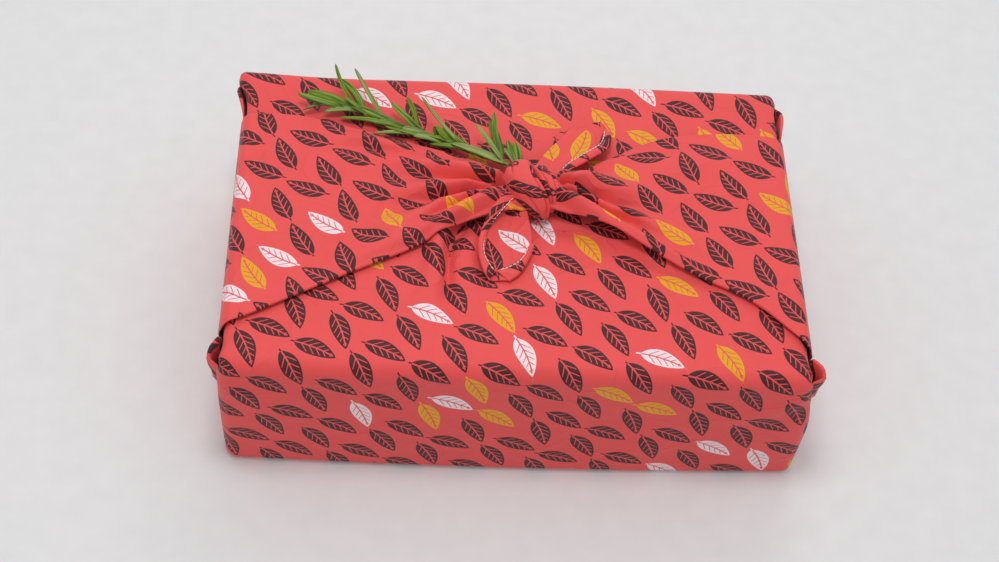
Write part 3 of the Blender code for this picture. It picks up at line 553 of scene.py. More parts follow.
def thicken(piece, thickness=CLOTH):
    solid = piece.modifiers.new("cloth_thickness", "SOLIDIFY")
    solid.thickness = thickness
    solid.offset = 0.0
    solid.use_even_offset = False
    solid.use_rim = True
    return piece


def puffed(points):
    """Points moved by the soft bulges, so that layers stay over each other."""
    moved = points.copy()
    for puff in PUFFS:
        gap = (points / MM - np.array(puff.at, float)) / np.array(puff.reach, float)
        moved += np.exp(-np.sum(gap ** 2, axis=-1))[..., None] * np.array(puff.push, float) * MM
    return moved


# ---------------------------------------------------------------- walls
def wing_columns():
    """Shares across a wing, with the first columns close together for the folded edge."""
    width = WING_SPAN["right"][1] - WING_SPAN["right"][0]
    edge = np.array(FOLD_EDGE) / width
    middle = np.linspace(edge[-1], 1 - edge[-1], WING_COLUMNS + 1 - 2 * (len(edge) - 1))
    return np.concatenate((edge[:-1], middle, 1 - edge[:-1][::-1]))


def flap_columns():
    """Shares along the front and back walls, closer together where the front flap is creased."""
    place = np.linspace(0, 1, CROWD_SAMPLES + 1)
    density = 1 + CROWD_EXTRA * np.exp(-((place - CROWD_AT) / CROWD_SPREAD) ** 2)
    total = np.concatenate(([0], np.cumsum((density[1:] + density[:-1]) / 2)))
    return np.interp(np.linspace(0, 1, FLAP_COLUMNS + 1), total / total[-1], place)


# A stretch of wall seen from above: places, outward ways, the ear's share and lift, the distance from the
# front or back wall in the corners' sections, and the place on the flat cloth
Plan = namedtuple("Plan", "x y nx ny share lift run flat_x")


def wall_plan(height):
    """The wall's plan at a height, by section, anticlockwise from above.

    The fold where a wing's cloth lies over the corner's runs up the end wall from the bottom corner to the
    wing's edge.
    """
    straight_x = HALF_W - CORNER_RADIUS
    straight_y = HALF_D - CORNER_RADIUS
    climb = min(max(height / WALL_TOP, 0.0), 1.0)
    plan = {}

    def fold_y(wing_edge):
        return mix(math.copysign(straight_y - PLEAT_FOOT, wing_edge), wing_edge, climb)

    def end_wall(section, side, start, end):
        y = mix(fold_y(start), fold_y(end), wing_columns())
        plan[section] = Plan(*np.broadcast_arrays(side * HALF_W, y, side, 0.0, 0.0, 0.0, 0.0, side * HALF_W))

    def long_wall(section, way):
        """The front or back wall with the round corners at both of its ends."""
        shares = flap_columns()
        turn = QUARTER * np.arange(EAR_ARC + 1) / EAR_ARC
        bend = np.concatenate((turn[:-1] - QUARTER, np.zeros(len(shares)), turn[1:]))
        along = np.concatenate((np.zeros(EAR_ARC), shares, np.ones(EAR_ARC)))
        centre_x = -way * (2 * along - 1) * straight_x
        nx, ny = -way * np.sin(bend), way * np.cos(bend)
        plan[section] = Plan(*np.broadcast_arrays(
            centre_x + CORNER_RADIUS * nx, way * straight_y + CORNER_RADIUS * ny, nx, ny, 0.0, 0.0, 0.0,
            centre_x - way * CORNER_RADIUS * bend))

    def ear(section, side, wing_edge, to_wing):
        t = (np.arange(EAR_SIDE + 1) / EAR_SIDE) ** EAR_CROWD
        t = t if to_wing else t[::-1]
        corner_y = math.copysign(straight_y, wing_edge)
        y = mix(corner_y, fold_y(wing_edge), t)
        size = EAR_SIZE[section]
        share = size * np.where(t < EAR_PEAK, smooth(t / EAR_PEAK), smooth((1 - t) / (1 - EAR_PEAK)))
        lift = min(size, 1) * smooth(t / EAR_RISE_IN) * smooth((1 - t) / EAR_RISE_OUT)
        run = np.abs(y - corner_y)
        flat_x = side * (straight_x + QUARTER * CORNER_RADIUS + run)
        plan[section] = Plan(*np.broadcast_arrays(side * HALF_W, y, side, 0.0, share, lift, run, flat_x))

    right_front, right_back = WING_SPAN["right"]
    left_front, left_back = WING_SPAN["left"]
    long_wall("front", -1.0)
    ear("ear_front_right", 1.0, right_front, True)
    end_wall("right", 1.0, right_front, right_back)
    ear("ear_back_right", 1.0, right_back, False)
    long_wall("back", 1.0)
    ear("ear_back_left", -1.0, left_back, True)
    end_wall("left", -1.0, left_back, left_front)
    ear("ear_front_left", -1.0, left_front, False)
    return plan


def wall_levels():
    """Heights of the wall's rows from the underside up, with the inset of the rounded foot."""
    angle = np.linspace(0, QUARTER, FOOT_STEPS + 1)
    foot = CLOTH / 2 + FOOT_RADIUS * (1 - np.cos(angle))
    inset = FOOT_RADIUS * (1 - np.sin(angle))
    rest = mix(foot[-1], WALL_TOP, steps_to(WALL_ROWS))
    return np.concatenate((foot, rest)), np.concatenate((inset, np.zeros(WALL_ROWS)))


def wall_points(section, part, height, inset):
    """One ring's stretch of wall at a height: bulge, bow, flare, folds and the ears' lips."""
    x, y = part.x, part.y
    out = SIDE_BULGE * math.sin(math.pi * min(height / WALL_TOP, 1.0)) - inset
    near_rim = smooth((height - (WALL_TOP - EAR_DEPTH)) / EAR_DEPTH)
    bow = np.where(y < 0, FRONT_BOW * (1 - (x / HALF_W) ** 2) * (1 - smooth(height / FRONT_BOW_TOP)), 0)
    flare = (CORNER_FLARE * smooth((x / HALF_W - FLARE_FROM) / (1 - FLARE_FROM))
             * (1 - smooth((y + HALF_D) / FLARE_REACH)) * (1 - smooth(2 * height / WALL_TOP - 1)))
    near_top = 1 - smooth((height - WALL_TOP + CLEAR_TOP) / CLEAR_TOP)
    off_foot = smooth((height - FOOT_RADIUS) / CLEAR_FOOT)
    level = np.full_like(x, height)
    relief = waves(x + y, level, WALL_WAVES)
    for line in WALL_FOLDS.get(section, ()):
        relief = relief + fold_relief(line, x if section in ("front", "back") else y, level)
    out = out + relief * off_foot * near_top
    if section in ("right", "left"):
        edge = np.minimum(np.abs(y - y[0]), np.abs(y[-1] - y))
        out = out + WING_PROUD * np.sqrt(np.clip(edge / FOLD_EDGE[-1], 0, 1)) * off_foot
    elif section.startswith("ear"):
        sunk = CORNER_SUNK * smooth(part.run / CORNER_SUNK_OVER) * off_foot
        out = out - sunk * (1 - np.minimum(part.share, 1))
    px = x + part.nx * out + np.sign(x) * EAR_OUT * part.share * near_rim + flare
    py = y + part.ny * out - bow
    pz = height + EAR_RISE * part.lift * near_rim
    return np.stack((px, py, pz), axis=-1)


def build_walls(surface):
    """Walls and underside; returns the top row of each section."""
    heights, insets = wall_levels()
    plans = [wall_plan(height) for height in heights]
    up = (heights - CLOTH / 2)[:, None]
    tops = {}
    for section in plans[0]:
        parts = [plan[section] for plan in plans]
        points = np.stack([wall_points(section, *row) for row in zip(parts, heights, insets)])
        x, y, flat_x = (np.stack([getattr(part, key) for part in parts]) for key in ("x", "y", "flat_x"))
        if section in ("right", "left"):
            flat_u, flat_v = np.sign(x) * (HALF_W + up), y
        else:
            flat_u, flat_v = flat_x, np.sign(y) * (HALF_D + up)
        flat = np.stack(np.broadcast_arrays(flat_u, flat_v), axis=-1)
        surface.add(points, flat)
        tops[section] = (points[-1], flat[-1])
        if section.startswith("ear"):
            build_ear_tuck(surface, parts[-1], points[-1], flat[-1])
    build_underside(surface, plans[0], heights[0], insets[0])
    return tops


def build_ear_tuck(surface, part, rim, rim_flat):
    """The ear's rim is a fold: the cloth turns inwards over it and runs down inside the pleat."""
    rows, flats = [rim], [rim_flat]
    inward = -np.sign(part.x)[:, None] * np.array((1.0, 0, 0))
    reach = smooth(part.share * EAR_TUCK_SPREAD)[:, None]
    way = np.sign(rim_flat) * (0, 1)
    radius = EAR_TUCK_GAP / 2
    for angle in math.pi * steps_to(EAR_TUCK_ARC):
        rows.append(rim + reach * (inward * radius * (1 - math.cos(angle)) + UP * radius * math.sin(angle)))
        flats.append(rim_flat + way * EAR_TUCK_TAKEN)
    fold = rows[-1]
    for down in EAR_TUCK * steps_to(EAR_TUCK_ROWS):
        rows.append(fold + reach * (inward * EAR_TUCK_LEAN - UP) * down)
        flats.append(rim_flat + way * down)
    surface.add(np.stack(rows), np.stack(flats))


def build_underside(surface, plan, height, inset):
    """The flat underside: rows from the front edge to the back, closed at both ends."""
    ring = {section: wall_points(section, plan[section], height, inset) for section in plan}
    front, back = ring["front"], ring["back"]
    front_row, back_row = front[EAR_ARC:-EAR_ARC], back[EAR_ARC:-EAR_ARC][::-1]
    share = np.linspace(0, 1, UNDERSIDE_ROWS + 1)[:, None, None]
    points = front_row[None] + (back_row - front_row)[None] * share
    surface.add(points, points[..., :2])
    right = [front[-EAR_ARC - 1:], ring["ear_front_right"], ring["right"], ring["ear_back_right"],
             back[:EAR_ARC + 1]]
    left = [back[-EAR_ARC - 1:], ring["ear_back_left"], ring["left"], ring["ear_front_left"],
            front[:EAR_ARC + 1]]
    for end, edge in ((-1, np.concatenate(right)), (0, np.concatenate(left)[::-1])):
        inner = edge.copy()
        start, finish = front_row[end], back_row[end]
        along = np.clip((edge[:, 1] - start[1]) / (finish[1] - start[1]), 0, 1)
        inner[:, 0] = mix(start[0], finish[0], along)
        strip = np.stack((inner, edge))
        surface.add(strip, strip[..., :2])


# ---------------------------------------------------------------- flaps
def top_round(radius_in, rise):
    """Rows of a top edge's round: how far in and how far up each lies."""
    angle = QUARTER * steps_to(ROUND_STEPS)
    return list(zip(radius_in * (1 - np.cos(angle)), rise * np.sin(angle)))


def flap_relief(x, y):
    """Soft unevenness and creases of the flaps' tops."""
    return waves(x, y, FLAP_WAVES) + sum(fold_relief(crease, x, y) for crease in FLAP_CREASES)


def side_lip():
    """How far a flap's sides stand out and fall from its edge, from the edge outwards."""
    radius, down = SIDE_LIP["radius"], SIDE_LIP["down"]
    angle = QUARTER * steps_to(SIDE_LIP["steps"])
    beyond = EAR_ARC - SIDE_LIP["steps"]
    out = radius * MM * np.concatenate((np.sin(angle), np.ones(beyond)))
    fall = MM * np.concatenate((radius * (1 - np.cos(angle)), mix(radius, down, steps_to(beyond))))
    return out, fall


class Flap:
    """The rows of one flap's cloth, from the top of its wall inwards."""

    def __init__(self, top, inward):
        base, base_flat = top
        self.inward = inward
        self.wall_y = base[len(base) // 2, 1]
        self.straight = base[EAR_ARC:-EAR_ARC]
        self.corners = ((0, base[:EAR_ARC][::-1], base_flat[:EAR_ARC, 0][::-1]),
                        (-1, base[-EAR_ARC:], base_flat[-EAR_ARC:, 0]))
        self.lip_out, self.lip_fall = side_lip()
        self.rows, self.flats = [base], [base_flat]
        self.travelled = 0.0
        self.previous = (self.wall_y, WALL_TOP)

    def travel(self, y, z):
        """Counts the cloth from the last row to this one."""
        self.travelled += math.hypot(y - self.previous[0], z - self.previous[1])
        self.previous = (y, z)

    def add_row(self, y, z, lip_share=0.0, width_share=1.0, relief=0.0, corner=0.0, set_in=0.0):
        """One row; corner says how much of the box's round corner its sides still follow."""
        x = self.straight[:, 0] * width_share
        row_y = y if np.ndim(y) else np.full_like(x, y)
        heights = z + (flap_relief(x, np.full_like(x, np.mean(row_y))) * relief if relief else 0.0)
        row = np.stack((x, row_y, heights * np.ones_like(x)), axis=-1)
        flat_v = -self.inward * (HALF_D + WALL_TOP + self.travelled)
        flat = np.stack((x, np.full_like(x, flat_v)), axis=-1)
        sides = []
        for end, arc, arc_u in self.corners:
            edge = row[end]
            side = math.copysign(1.0, edge[0])
            past = abs(edge[1] - self.wall_y) / MM - SIDE_LIP["narrow_from"]
            out = self.lip_out * mix(1, SIDE_LIP["narrow"], smooth(past / SIDE_LIP["narrow_over"]))
            lip = edge + lip_share * np.stack((side * out, 0 * out, -self.lip_fall), axis=-1)
            lip_u = flat[end, 0] + side * (self.lip_out + self.lip_fall) * LIP_TAKEN * lip_share
            centre = np.array((self.straight[end, 0], self.wall_y + self.inward * CORNER_RADIUS))
            round_xy = centre + (arc[:, :2] - centre) * (1 - set_in / CORNER_RADIUS)
            round_corner = np.column_stack((round_xy, np.full(EAR_ARC, z)))
            side_flat = np.column_stack((mix(lip_u, arc_u, corner), np.full(EAR_ARC, flat_v)))
            sides.append((mix(lip, round_corner, corner), side_flat))
        (lip_a, flat_a), (lip_b, flat_b) = sides
        self.rows.append(np.concatenate((lip_a[::-1], row, lip_b)))
        self.flats.append(np.concatenate((flat_a[::-1], flat, flat_b)))


def build_flap(surface, top, inward, form):
    """A flap from the top of its wall over the box, folded back under itself."""
    flap = Flap(top, inward)
    for step, (distance, rise) in enumerate(top_round(EDGE_RISE, EDGE_RISE), 1):
        z = WALL_TOP + rise
        flap.travel(flap.wall_y + inward * distance, z)
        flap.add_row(flap.straight[:, 1] + inward * distance, z, 1.0, corner=1 - smooth(step / ROUND_STEPS),
                     set_in=distance)
    start_y = flap.previous[0]
    lip_from, lip_to = form.lip_end
    for step in range(1, form.rows + 1):
        y = mix(start_y, form.fold_y, step / form.rows)
        z = form.level(y)
        flap.travel(y, z)
        lip_share = 1 - float(smooth((abs(y - flap.wall_y) - lip_from) / (lip_to - lip_from)))
        flap.add_row(y, z, lip_share, relief=float(smooth(step / RELIEF_ROWS)) * form.relief(y))
    fold_z = form.level(form.fold_y)
    for share in steps_to(FOLD_STEPS):
        angle = math.pi * share
        flap.travelled += PITCH / 2 * math.pi / FOLD_STEPS
        y = form.fold_y + inward * PITCH / 2 * math.sin(angle)
        flap.add_row(y, fold_z - PITCH / 2 * (1 - math.cos(angle)), width_share=mix(1, TUCK_WIDTH, share),
                     relief=(1 - share) * form.relief(form.fold_y))
    for step in range(1, form.tuck_rows + 1):
        y = mix(form.fold_y, form.tuck_y, step / form.tuck_rows)
        flap.travelled += abs(form.tuck_y - form.fold_y) / form.tuck_rows
        flap.add_row(y, form.level(y) - PITCH, width_share=TUCK_WIDTH,
                     relief=form.tuck_relief * float(smooth(step - 0.5)))
    surface.add(np.stack(flap.rows), np.stack(flap.flats))


def front_level(y):
    return FLAP_Z


def front_relief(y):
    return 1.0


def back_level(y):
    low, high = BACK_STEP
    return FLAP_Z - 2 * PITCH * (1 - float(smooth((y - low) / (high - low))))


def back_relief(y):
    """Under the front flap the back one follows the creases less, for the layers are pressed together."""
    return mix(PRESSED_RELIEF, 1.0, float(smooth((y - FRONT_FOLD_Y) / PRESSED_OVER)))


# level and relief: the flap's height, and its share of the creases, at each Y
FRONT_FLAP, BACK_FLAP = table(
    "rows level relief fold_y lip_end tuck_rows tuck_y tuck_relief",
    (FLAP_ROWS, front_level, front_relief, FRONT_FOLD_Y, FRONT_LIP_END, FLAP_TUCK_ROWS, FRONT_TUCK_Y,
     FRONT_TUCK_RELIEF),
    (BACK_ROWS, back_level, back_relief, BACK_FOLD_Y, BACK_LIP_END, BACK_TUCK_ROWS, BACK_TUCK_Y, 0.0))


# ---------------------------------------------------------------- wings
def flap_height(x, y):
    return FLAP_Z + flap_relief(x, y)


def wing_height(wing, x, y):
    """Height of a wing's cloth: flat far out, rising to the knot, with folds, ripples and drooping edges."""
    x, y = np.asarray(x, float), np.asarray(y, float)
    from_knot = np.hypot(x - KNOT_X, y - KNOT_Y)
    height = WING_Z + KNOT_RISE * smooth(1 - from_knot / RISE_REACH)
    for line in WING_FOLDS[wing]:
        height = height + FOLD_DEPTH * fold_relief(line, x, y, FOLD_WIDTH)
    angle = np.arctan2(y - KNOT_Y, np.abs(x - KNOT_X))
    fade = (smooth(1 - from_knot / (RIPPLES["reach"] * MM))
            * smooth((from_knot - RIPPLES["from"] * MM) / (RIPPLES["over"] * MM)))
    ripple = (np.sin(RIPPLES["count"] * angle + RIPPLES["bend"] * angle ** 2)
              + RIPPLES["fine_share"] * np.sin(RIPPLES["fine_count"] * angle + RIPPLES["fine_phase"]))
    height = height + RIPPLES["height"] * MM * fade * ripple - KNOT_SINK * smooth(1 - from_knot / KNOT_INNER)
    front, back = wing_edges(wing, np.abs(x))
    inside = np.minimum(np.abs(y - front), np.abs(back - y))
    near, far = OPEN_REACH[wing]
    gape = mix(EDGE_OPEN, 1.0, smooth((from_knot - near) / (far - near)))
    below = flap_height(x, y)
    over_low = np.maximum(height - below - EDGE_LOW, 0)
    droop = EDGE_DROOP * gape * (1 - smooth(inside / EDGE_REACH)) * over_low
    lowest = below + FLOOR_GAP
    over = height - droop - lowest
    return lowest + (over + np.hypot(over, FLOOR_SOFT)) / 2


def wing_edges(wing, distance):
    """Y of a wing's front and back edges at distances from the middle line, on curves through its table."""
    places, *edges = np.array(WING_EDGES[wing], float).T
    last = len(places) - 1
    before, after = np.r_[0, 0:last], np.r_[1:last + 1, last]
    place = np.asarray(distance, float) / MM
    i = np.clip(np.searchsorted(-places, -place, side="right") - 1, 0, last - 1)
    span = places[i + 1] - places[i]
    t = np.clip((place - places[i]) / span, 0, 1)
    curves = []
    for values in edges:
        slopes = (values[after] - values[before]) / (places[after] - places[before])
        y = ((1 + 2 * t) * (1 - t) ** 2 * values[i] + t * (1 - t) ** 2 * span * slopes[i]
             + t * t * (3 - 2 * t) * values[i + 1] + t * t * (t - 1) * span * slopes[i + 1])
        curves.append(y * MM)
    return curves


def edge_ways(wing, distance, sign):
    """Level directions that point out of a wing's front and back edges."""
    ahead, behind = wing_edges(wing, distance + MM), wing_edges(wing, distance - MM)
    slopes = [(a - b) / (2 * MM) for a, b in zip(ahead, behind)]
    return [unit(np.array((-slope * way * sign, way, 0.0))) for slope, way in zip(slopes, (-1, 1))]


def turned_edge(wing, edge, outward, share, width, drop):
    """A wing's edge rolls over and the cloth runs back under it: points outward from the edge."""
    roll = TURN_GAP / 2 * max(share, THINNEST_ROLL)
    angle = math.pi * steps_to(ROLL_STEPS)[:, None]
    rolled = edge + outward * roll * np.sin(angle) - UP * roll * (1 - np.cos(angle))
    under = edge - outward * width * share * steps_to(TURN_COLUMNS)[:, None]
    furthest = max(abs(edge[0]), HALF_W - TURN_CLEAR)
    under[:, 0] = np.clip(under[:, 0], -furthest, furthest)
    low = wing_height(wing, under[:, 0], under[:, 1]) + drop - 2 * roll
    if share > 0.5:
        low = np.maximum(low, flap_height(under[:, 0], under[:, 1]) + TURN_FLOOR)
    under[:, 2] = low
    return np.concatenate((rolled, under))


def build_wing(surface, top, wing):
    """A wing from the end wall's top to the knot."""
    sign = 1 if wing == "right" else -1
    start, end = HALF_W + WING_PROUD, WING_EDGES[wing][-1].away * MM
    turn = ROLL_STEPS + TURN_COLUMNS

    def led_in(line):
        """A row of the wall's top, with its ends repeated for the turned edges' columns."""
        line = line[::sign]
        return np.concatenate((np.repeat(line[:1], turn, 0), line, np.repeat(line[-1:], turn, 0)))

    rows, flats = [led_in(top[0])], [led_in(top[1])]
    steps = [(start - distance, WALL_TOP + rise - WING_Z)
             for distance, rise in top_round(WING_ROUND, WING_Z - WALL_TOP)]
    steps += [(mix(start - WING_ROUND, end, 1 - (1 - share) ** ROW_CROWD), 0.0)
              for share in steps_to(WING_ROWS)]
    travelled, previous = 0.0, (start, WALL_TOP)
    taken = np.concatenate((np.zeros(ROLL_STEPS), steps_to(TURN_COLUMNS)))
    for distance, drop in steps:
        front, back = wing_edges(wing, distance)
        y = mix(front, back, wing_columns())
        x = np.full_like(y, sign * distance)
        fade = float(smooth((start - distance) / UNEVEN_OVER))
        z = wing_height(wing, x, y) + drop + fade * waves(x, y, WING_WAVES)
        travelled += math.hypot(distance - previous[0], (WING_Z + drop) - previous[1])
        previous = (distance, WING_Z + drop)
        line = np.stack((x, y, z), axis=-1)
        share = float(smooth((start - distance - TURN_FROM) / TURN_OVER))
        width = min(TURN_WIDTH, TURN_SHARE * (back - front))
        front_turn, back_turn = (turned_edge(wing, edge, way, share, width, drop)
                                 for edge, way in zip((line[0], line[-1]), edge_ways(wing, distance, sign)))
        rows.append(np.concatenate((front_turn[::-1], line, back_turn)))
        flat_y = gathered_y(y, front, back, distance)
        under = width * share * taken
        flat_v = np.concatenate(((flat_y[0] - under)[::-1], flat_y, flat_y[-1] + under))
        flat_u = np.full_like(flat_v, sign * (HALF_W + WALL_TOP + travelled))
        flats.append(np.stack((flat_u, flat_v), axis=-1))
    surface.add(np.stack(rows), np.stack(flats))


def gathered_y(y, front, back, distance):
    """Where on the flat cloth the gathered wing's points come from: the pleats hold extra width."""
    middle = (front + back) / 2
    widen = 1 + GATHER_EXTRA * float(smooth((GATHER_FROM - distance) / GATHER_OVER))
    return middle + (y - middle) * widen


# ---------------------------------------------------------------- knot and tails
def net_surface(net, rows, columns):
    """A smooth surface through a net of control points, in millimetres."""
    down = through(net, np.linspace(0, 1, rows + 1))
    return np.swapaxes(through(np.swapaxes(down, 0, 1), np.linspace(0, 1, columns + 1)), 0, 1)


def band_profile(row):
    """Control points across a strap: its edges tucked down and in, its shoulders and its crest."""
    left, crest, right = np.array(row, float)
    ends, shoulders = [], []
    for edge in (left, right):
        end, shoulder = mix(edge, crest, BAND_TUCK_IN), mix(edge, crest, SHOULDER_IN)
        end[2] = edge[2] - BAND_TUCK
        lift, share = SHOULDER_LIFT
        shoulder[2] += share * abs(crest[2] - edge[2]) + lift
        ends.append(end)
        shoulders.append(shoulder)
    return ends[0], left, shoulders[0], crest, shoulders[1], right, ends[1]


def build_band(rows, name, material, creases, flat_at):
    """A gathered strap of the knot: a rounded strip with creases along it."""
    points = net_surface([band_profile(row) for row in rows], BAND_ROWS, BAND_COLUMNS)
    across = np.linspace(0, 1, BAND_COLUMNS + 1)[None]
    along = np.linspace(0, 1, BAND_ROWS + 1)[:, None]
    skew, length = BAND_WAVES["along"]
    relief = (BAND_WAVES["height"] * np.sin(BAND_WAVES["across"] * across + skew * along)
              * np.sin(length * along + 1))
    for crease in creases:
        low, high = crease.along
        line = mix(*crease.across, (along - low) / (high - low))
        fade = smooth((along - low) / CREASE_FADE) * smooth((high - along) / CREASE_FADE)
        trough = np.clip(1 - np.abs(across - line) / crease.half, 0, 1) ** CREASE_SHARPNESS
        relief = relief - crease.depth * fade * trough
    normal = unit(np.cross(np.gradient(points, axis=1), np.gradient(points, axis=0)))
    middle = BAND_COLUMNS // 2
    normal *= np.sign(normal[BAND_ROWS // 2, middle, 2]) or 1
    points = points + normal * relief[..., None]
    flat_u = flat_at[0] + lengths_along(points)[:, middle, None] * MM + 0 * across
    surface = Surface()
    surface.add(lift_to_flaps(points), np.stack((flat_u, flat_at[1] + lengths_across(points) * MM), axis=-1))
    return thicken(surface.build(name, material))


def build_core(material):
    """The hidden middle of the knot, which closes it between the straps."""
    bpy.ops.mesh.primitive_uv_sphere_add(
        segments=KNOT_CORE["segments"], ring_count=KNOT_CORE["rings"], radius=1.0)
    core = bpy.context.object
    core.name = "knot_core"
    half = Vector(KNOT_CORE["half"]) * MM
    middle = Vector(lift_to_flaps(np.array(KNOT_CORE["at"])))
    core.data.transform(Matrix.Translation(middle) @ Matrix.Diagonal((*half, 1.0)))
    core.data.shade_smooth()
    core.data.materials.append(material)
    layer = core.data.uv_layers[0]
    layer.name = "flat"
    places = np.empty(2 * len(layer.data), np.float32)
    layer.data.foreach_get("uv", places)
    layer.data.foreach_set("uv", places * KNOT_CORE["print_side"])
    return core


def hem_strip(edge, inner, taper):
    """The hem of a tail: from its edge, over a small fold, to the hem's inner edge, for each row."""
    inward = unit(inner - edge, 1e-6)
    up = UP - inward * inward[..., 2:]
    up *= taper[:, None] / np.linalg.norm(up, axis=-1, keepdims=True)
    edge, inner, inward, up = (values[:, None] for values in (edge, inner, inward, up))
    angle = np.linspace(0, math.pi, HEM_ARC + 1)[None, :, None]
    rolled = edge - inward * HEM_ROLL * np.sin(angle) + up * HEM_ROLL * (1 - np.cos(angle))
    share = steps_to(HEM_COLUMNS)[None, :, None]
    lying = mix(edge + up * 2 * HEM_ROLL, inner, share) + up * HEM_PUFF * np.sin(math.pi * share)
    return np.concatenate((rolled, lying), axis=1)


def build_tail(rows, name, material, flat_turn, second_hem=None):
    """A tail of the knot with its hems folded over; returns it and the lines of its stitches."""
    t = np.linspace(0, 1, TAIL_ROWS + 1)
    sag = np.array((0, 0, TAIL_SAG["down"]))
    net = [[row.left, mix(np.array(row.left, float), np.array(row.middle, float), TAIL_SAG["share"]) - sag,
            row.middle, row.right] for row in rows]
    points = net_surface(net, TAIL_ROWS, TAIL_COLUMNS)
    share = np.linspace(0, 1, TAIL_COLUMNS + 1)[None]
    wave = TAIL_WAVES["along"] * t[:, None] + TAIL_WAVES["across"] * share
    points[..., 2] += TAIL_WAVES["height"] * np.sin(wave) * np.sin(math.pi * share)
    along, side = lengths_along(points), lengths_across(points)
    middle = TAIL_COLUMNS // 2
    cos, sin = math.cos(flat_turn), math.sin(flat_turn)

    def flat(to_tip, aside):
        """Places on the flat cloth, whose corner is the tail's tip."""
        reach = FLAT_SIDE / math.sqrt(2) - to_tip * MM
        return np.stack((reach * cos - aside * sin * MM, reach * sin + aside * cos * MM), axis=-1)

    to_tip = along[-1, middle] - along[:, middle:middle + 1] + 0 * share
    aside = side - side[:, middle:middle + 1]
    surface = Surface()
    surface.add(lift_to_flaps(points), flat(to_tip, aside))
    lines = []
    hems = [(points[:, 0], through([row.hem for row in rows], t), aside[:, 0], -1)]
    if second_hem is not None:
        first = round(SECOND_HEM_FROM * TAIL_ROWS)
        inner = through(second_hem, np.linspace(0, 1, TAIL_ROWS + 1 - first))
        hems.append((points[first:, -1], inner, aside[first:, -1], 1))
    for edge, inner, edge_aside, way in hems:
        taper = np.maximum(smooth((1 - t[-len(edge):]) / HEM_TAPER["over"]), HEM_TAPER["least"])
        strip = hem_strip(edge, inner, taper)
        width = lengths_across(strip)
        hem_tip = to_tip[-len(edge):, :1] + 0 * width
        surface.add(lift_to_flaps(strip), flat(hem_tip, edge_aside[:, None] + way * width))
        line = mix(strip[:, -1], strip[:, -2], STITCH["inset"]) + UP * STITCH["lift"]
        lines.append(line[STITCH["skip"]:])
    return thicken(surface.build(name, material)), lines


def build_stitches(lines, material):
    """Short raised dashes of white thread along the hems."""
    surface = Surface()
    along, drop, radius = np.array(STITCH_FORM).T
    for line in lines:
        length = lengths_along(line)
        pitch = STITCH["length"] + STITCH["gap"]
        for number in range(int(length[-1] / pitch)):
            places = number * pitch + STITCH["length"] * along
            centre = np.stack([np.interp(places, length, line[:, axis]) for axis in range(3)], axis=-1)
            centre[:, 2] -= drop
            ahead = unit(centre[-1] - centre[0])
            across = unit(np.cross(ahead, UP))
            points = tube(centre, across, np.cross(across, ahead), STITCH["radius"] * radius, THREAD_SIDES)
            surface.add(lift_to_flaps(points), points[..., :2])
    return surface.build("hem_stitches", material)


# ---------------------------------------------------------------- rosemary
def stem_points(t):
    return through([row[:3] for row in STEM], t)


def build_leaf(surface, leaf, index):
    """A narrow blade from the stem to its tip, grooved along its middle, with edges curled under."""
    start, tip = stem_points(np.array((leaf.at,)))[0], np.array(leaf.tip, float)
    t = np.linspace(0, 1, LEAF_ROWS + 1)
    chord = tip - start
    length = np.linalg.norm(chord)
    across = unit(np.cross(UP, chord))
    arc = np.sin(math.pi * t)[:, None]
    centre = start + chord * t[:, None] + across * leaf.bend * arc + UP * LEAF_ARCH * length * arc
    foot, growth = LEAF_FOOT
    pointed = np.sqrt(np.clip(1 - t ** LEAF_TIP["power"], 0, 1))
    half = leaf.width / 2 * np.clip(np.minimum(foot + t * growth, 1) * pointed, LEAF_TIP["least"], 1)
    section = np.linspace(-1, 1, LEAF_COLUMNS + 1)
    steep, gentle = LEAF_CURL
    profile = (-LEAF_GROOVE["depth"] * np.exp(-(section / LEAF_GROOVE["width"]) ** 2)
               - steep * section ** 4 - gentle * section ** 2)
    roll = LEAF_ROLL["most"] * math.sin(LEAF_ROLL["spacing"] * index) * (LEAF_ROLL["foot"] + t)
    side = across * np.cos(roll)[:, None] + UP * np.sin(roll)[:, None]
    points = centre[:, None] + side[:, None] * (half[:, None] * section)[..., None]
    points[..., 2] += (-1 if leaf.pale else 1) * profile * half[:, None] * LEAF_RELIEF
    flat = np.stack(np.broadcast_arrays(index * LEAF_FLAT["spacing"] + t[:, None] * length * MM,
                                        section * LEAF_FLAT["half"]), axis=-1)
    if not leaf.pale:
        points, flat = points[:, ::-1], flat[:, ::-1]
    surface.add(lift_to_flaps(points), flat)


def build_leaves(material, underside):
    surface = Surface()
    for index, leaf in enumerate(LEAVES):
        build_leaf(surface, leaf, index)
    leaves = thicken(surface.build("rosemary_leaves", material, recalculate=False), LEAF_THICKNESS)
    leaves.data.materials.append(underside)
    leaves.modifiers[0].material_offset = 1
    return leaves


def build_stem(material):
    t = np.linspace(0, 1, STEM_RINGS + 1)
    centre, radius = stem_points(t), through([row.radius for row in STEM], t)
    along = unit(np.gradient(centre, axis=0))
    across = unit(np.cross(along, UP))
    points = lift_to_flaps(tube(centre, across, np.cross(across, along), radius, STEM_SIDES))
    surface = Surface()
    surface.add(points, points[..., :2])
    return surface.build("rosemary_stem", material)


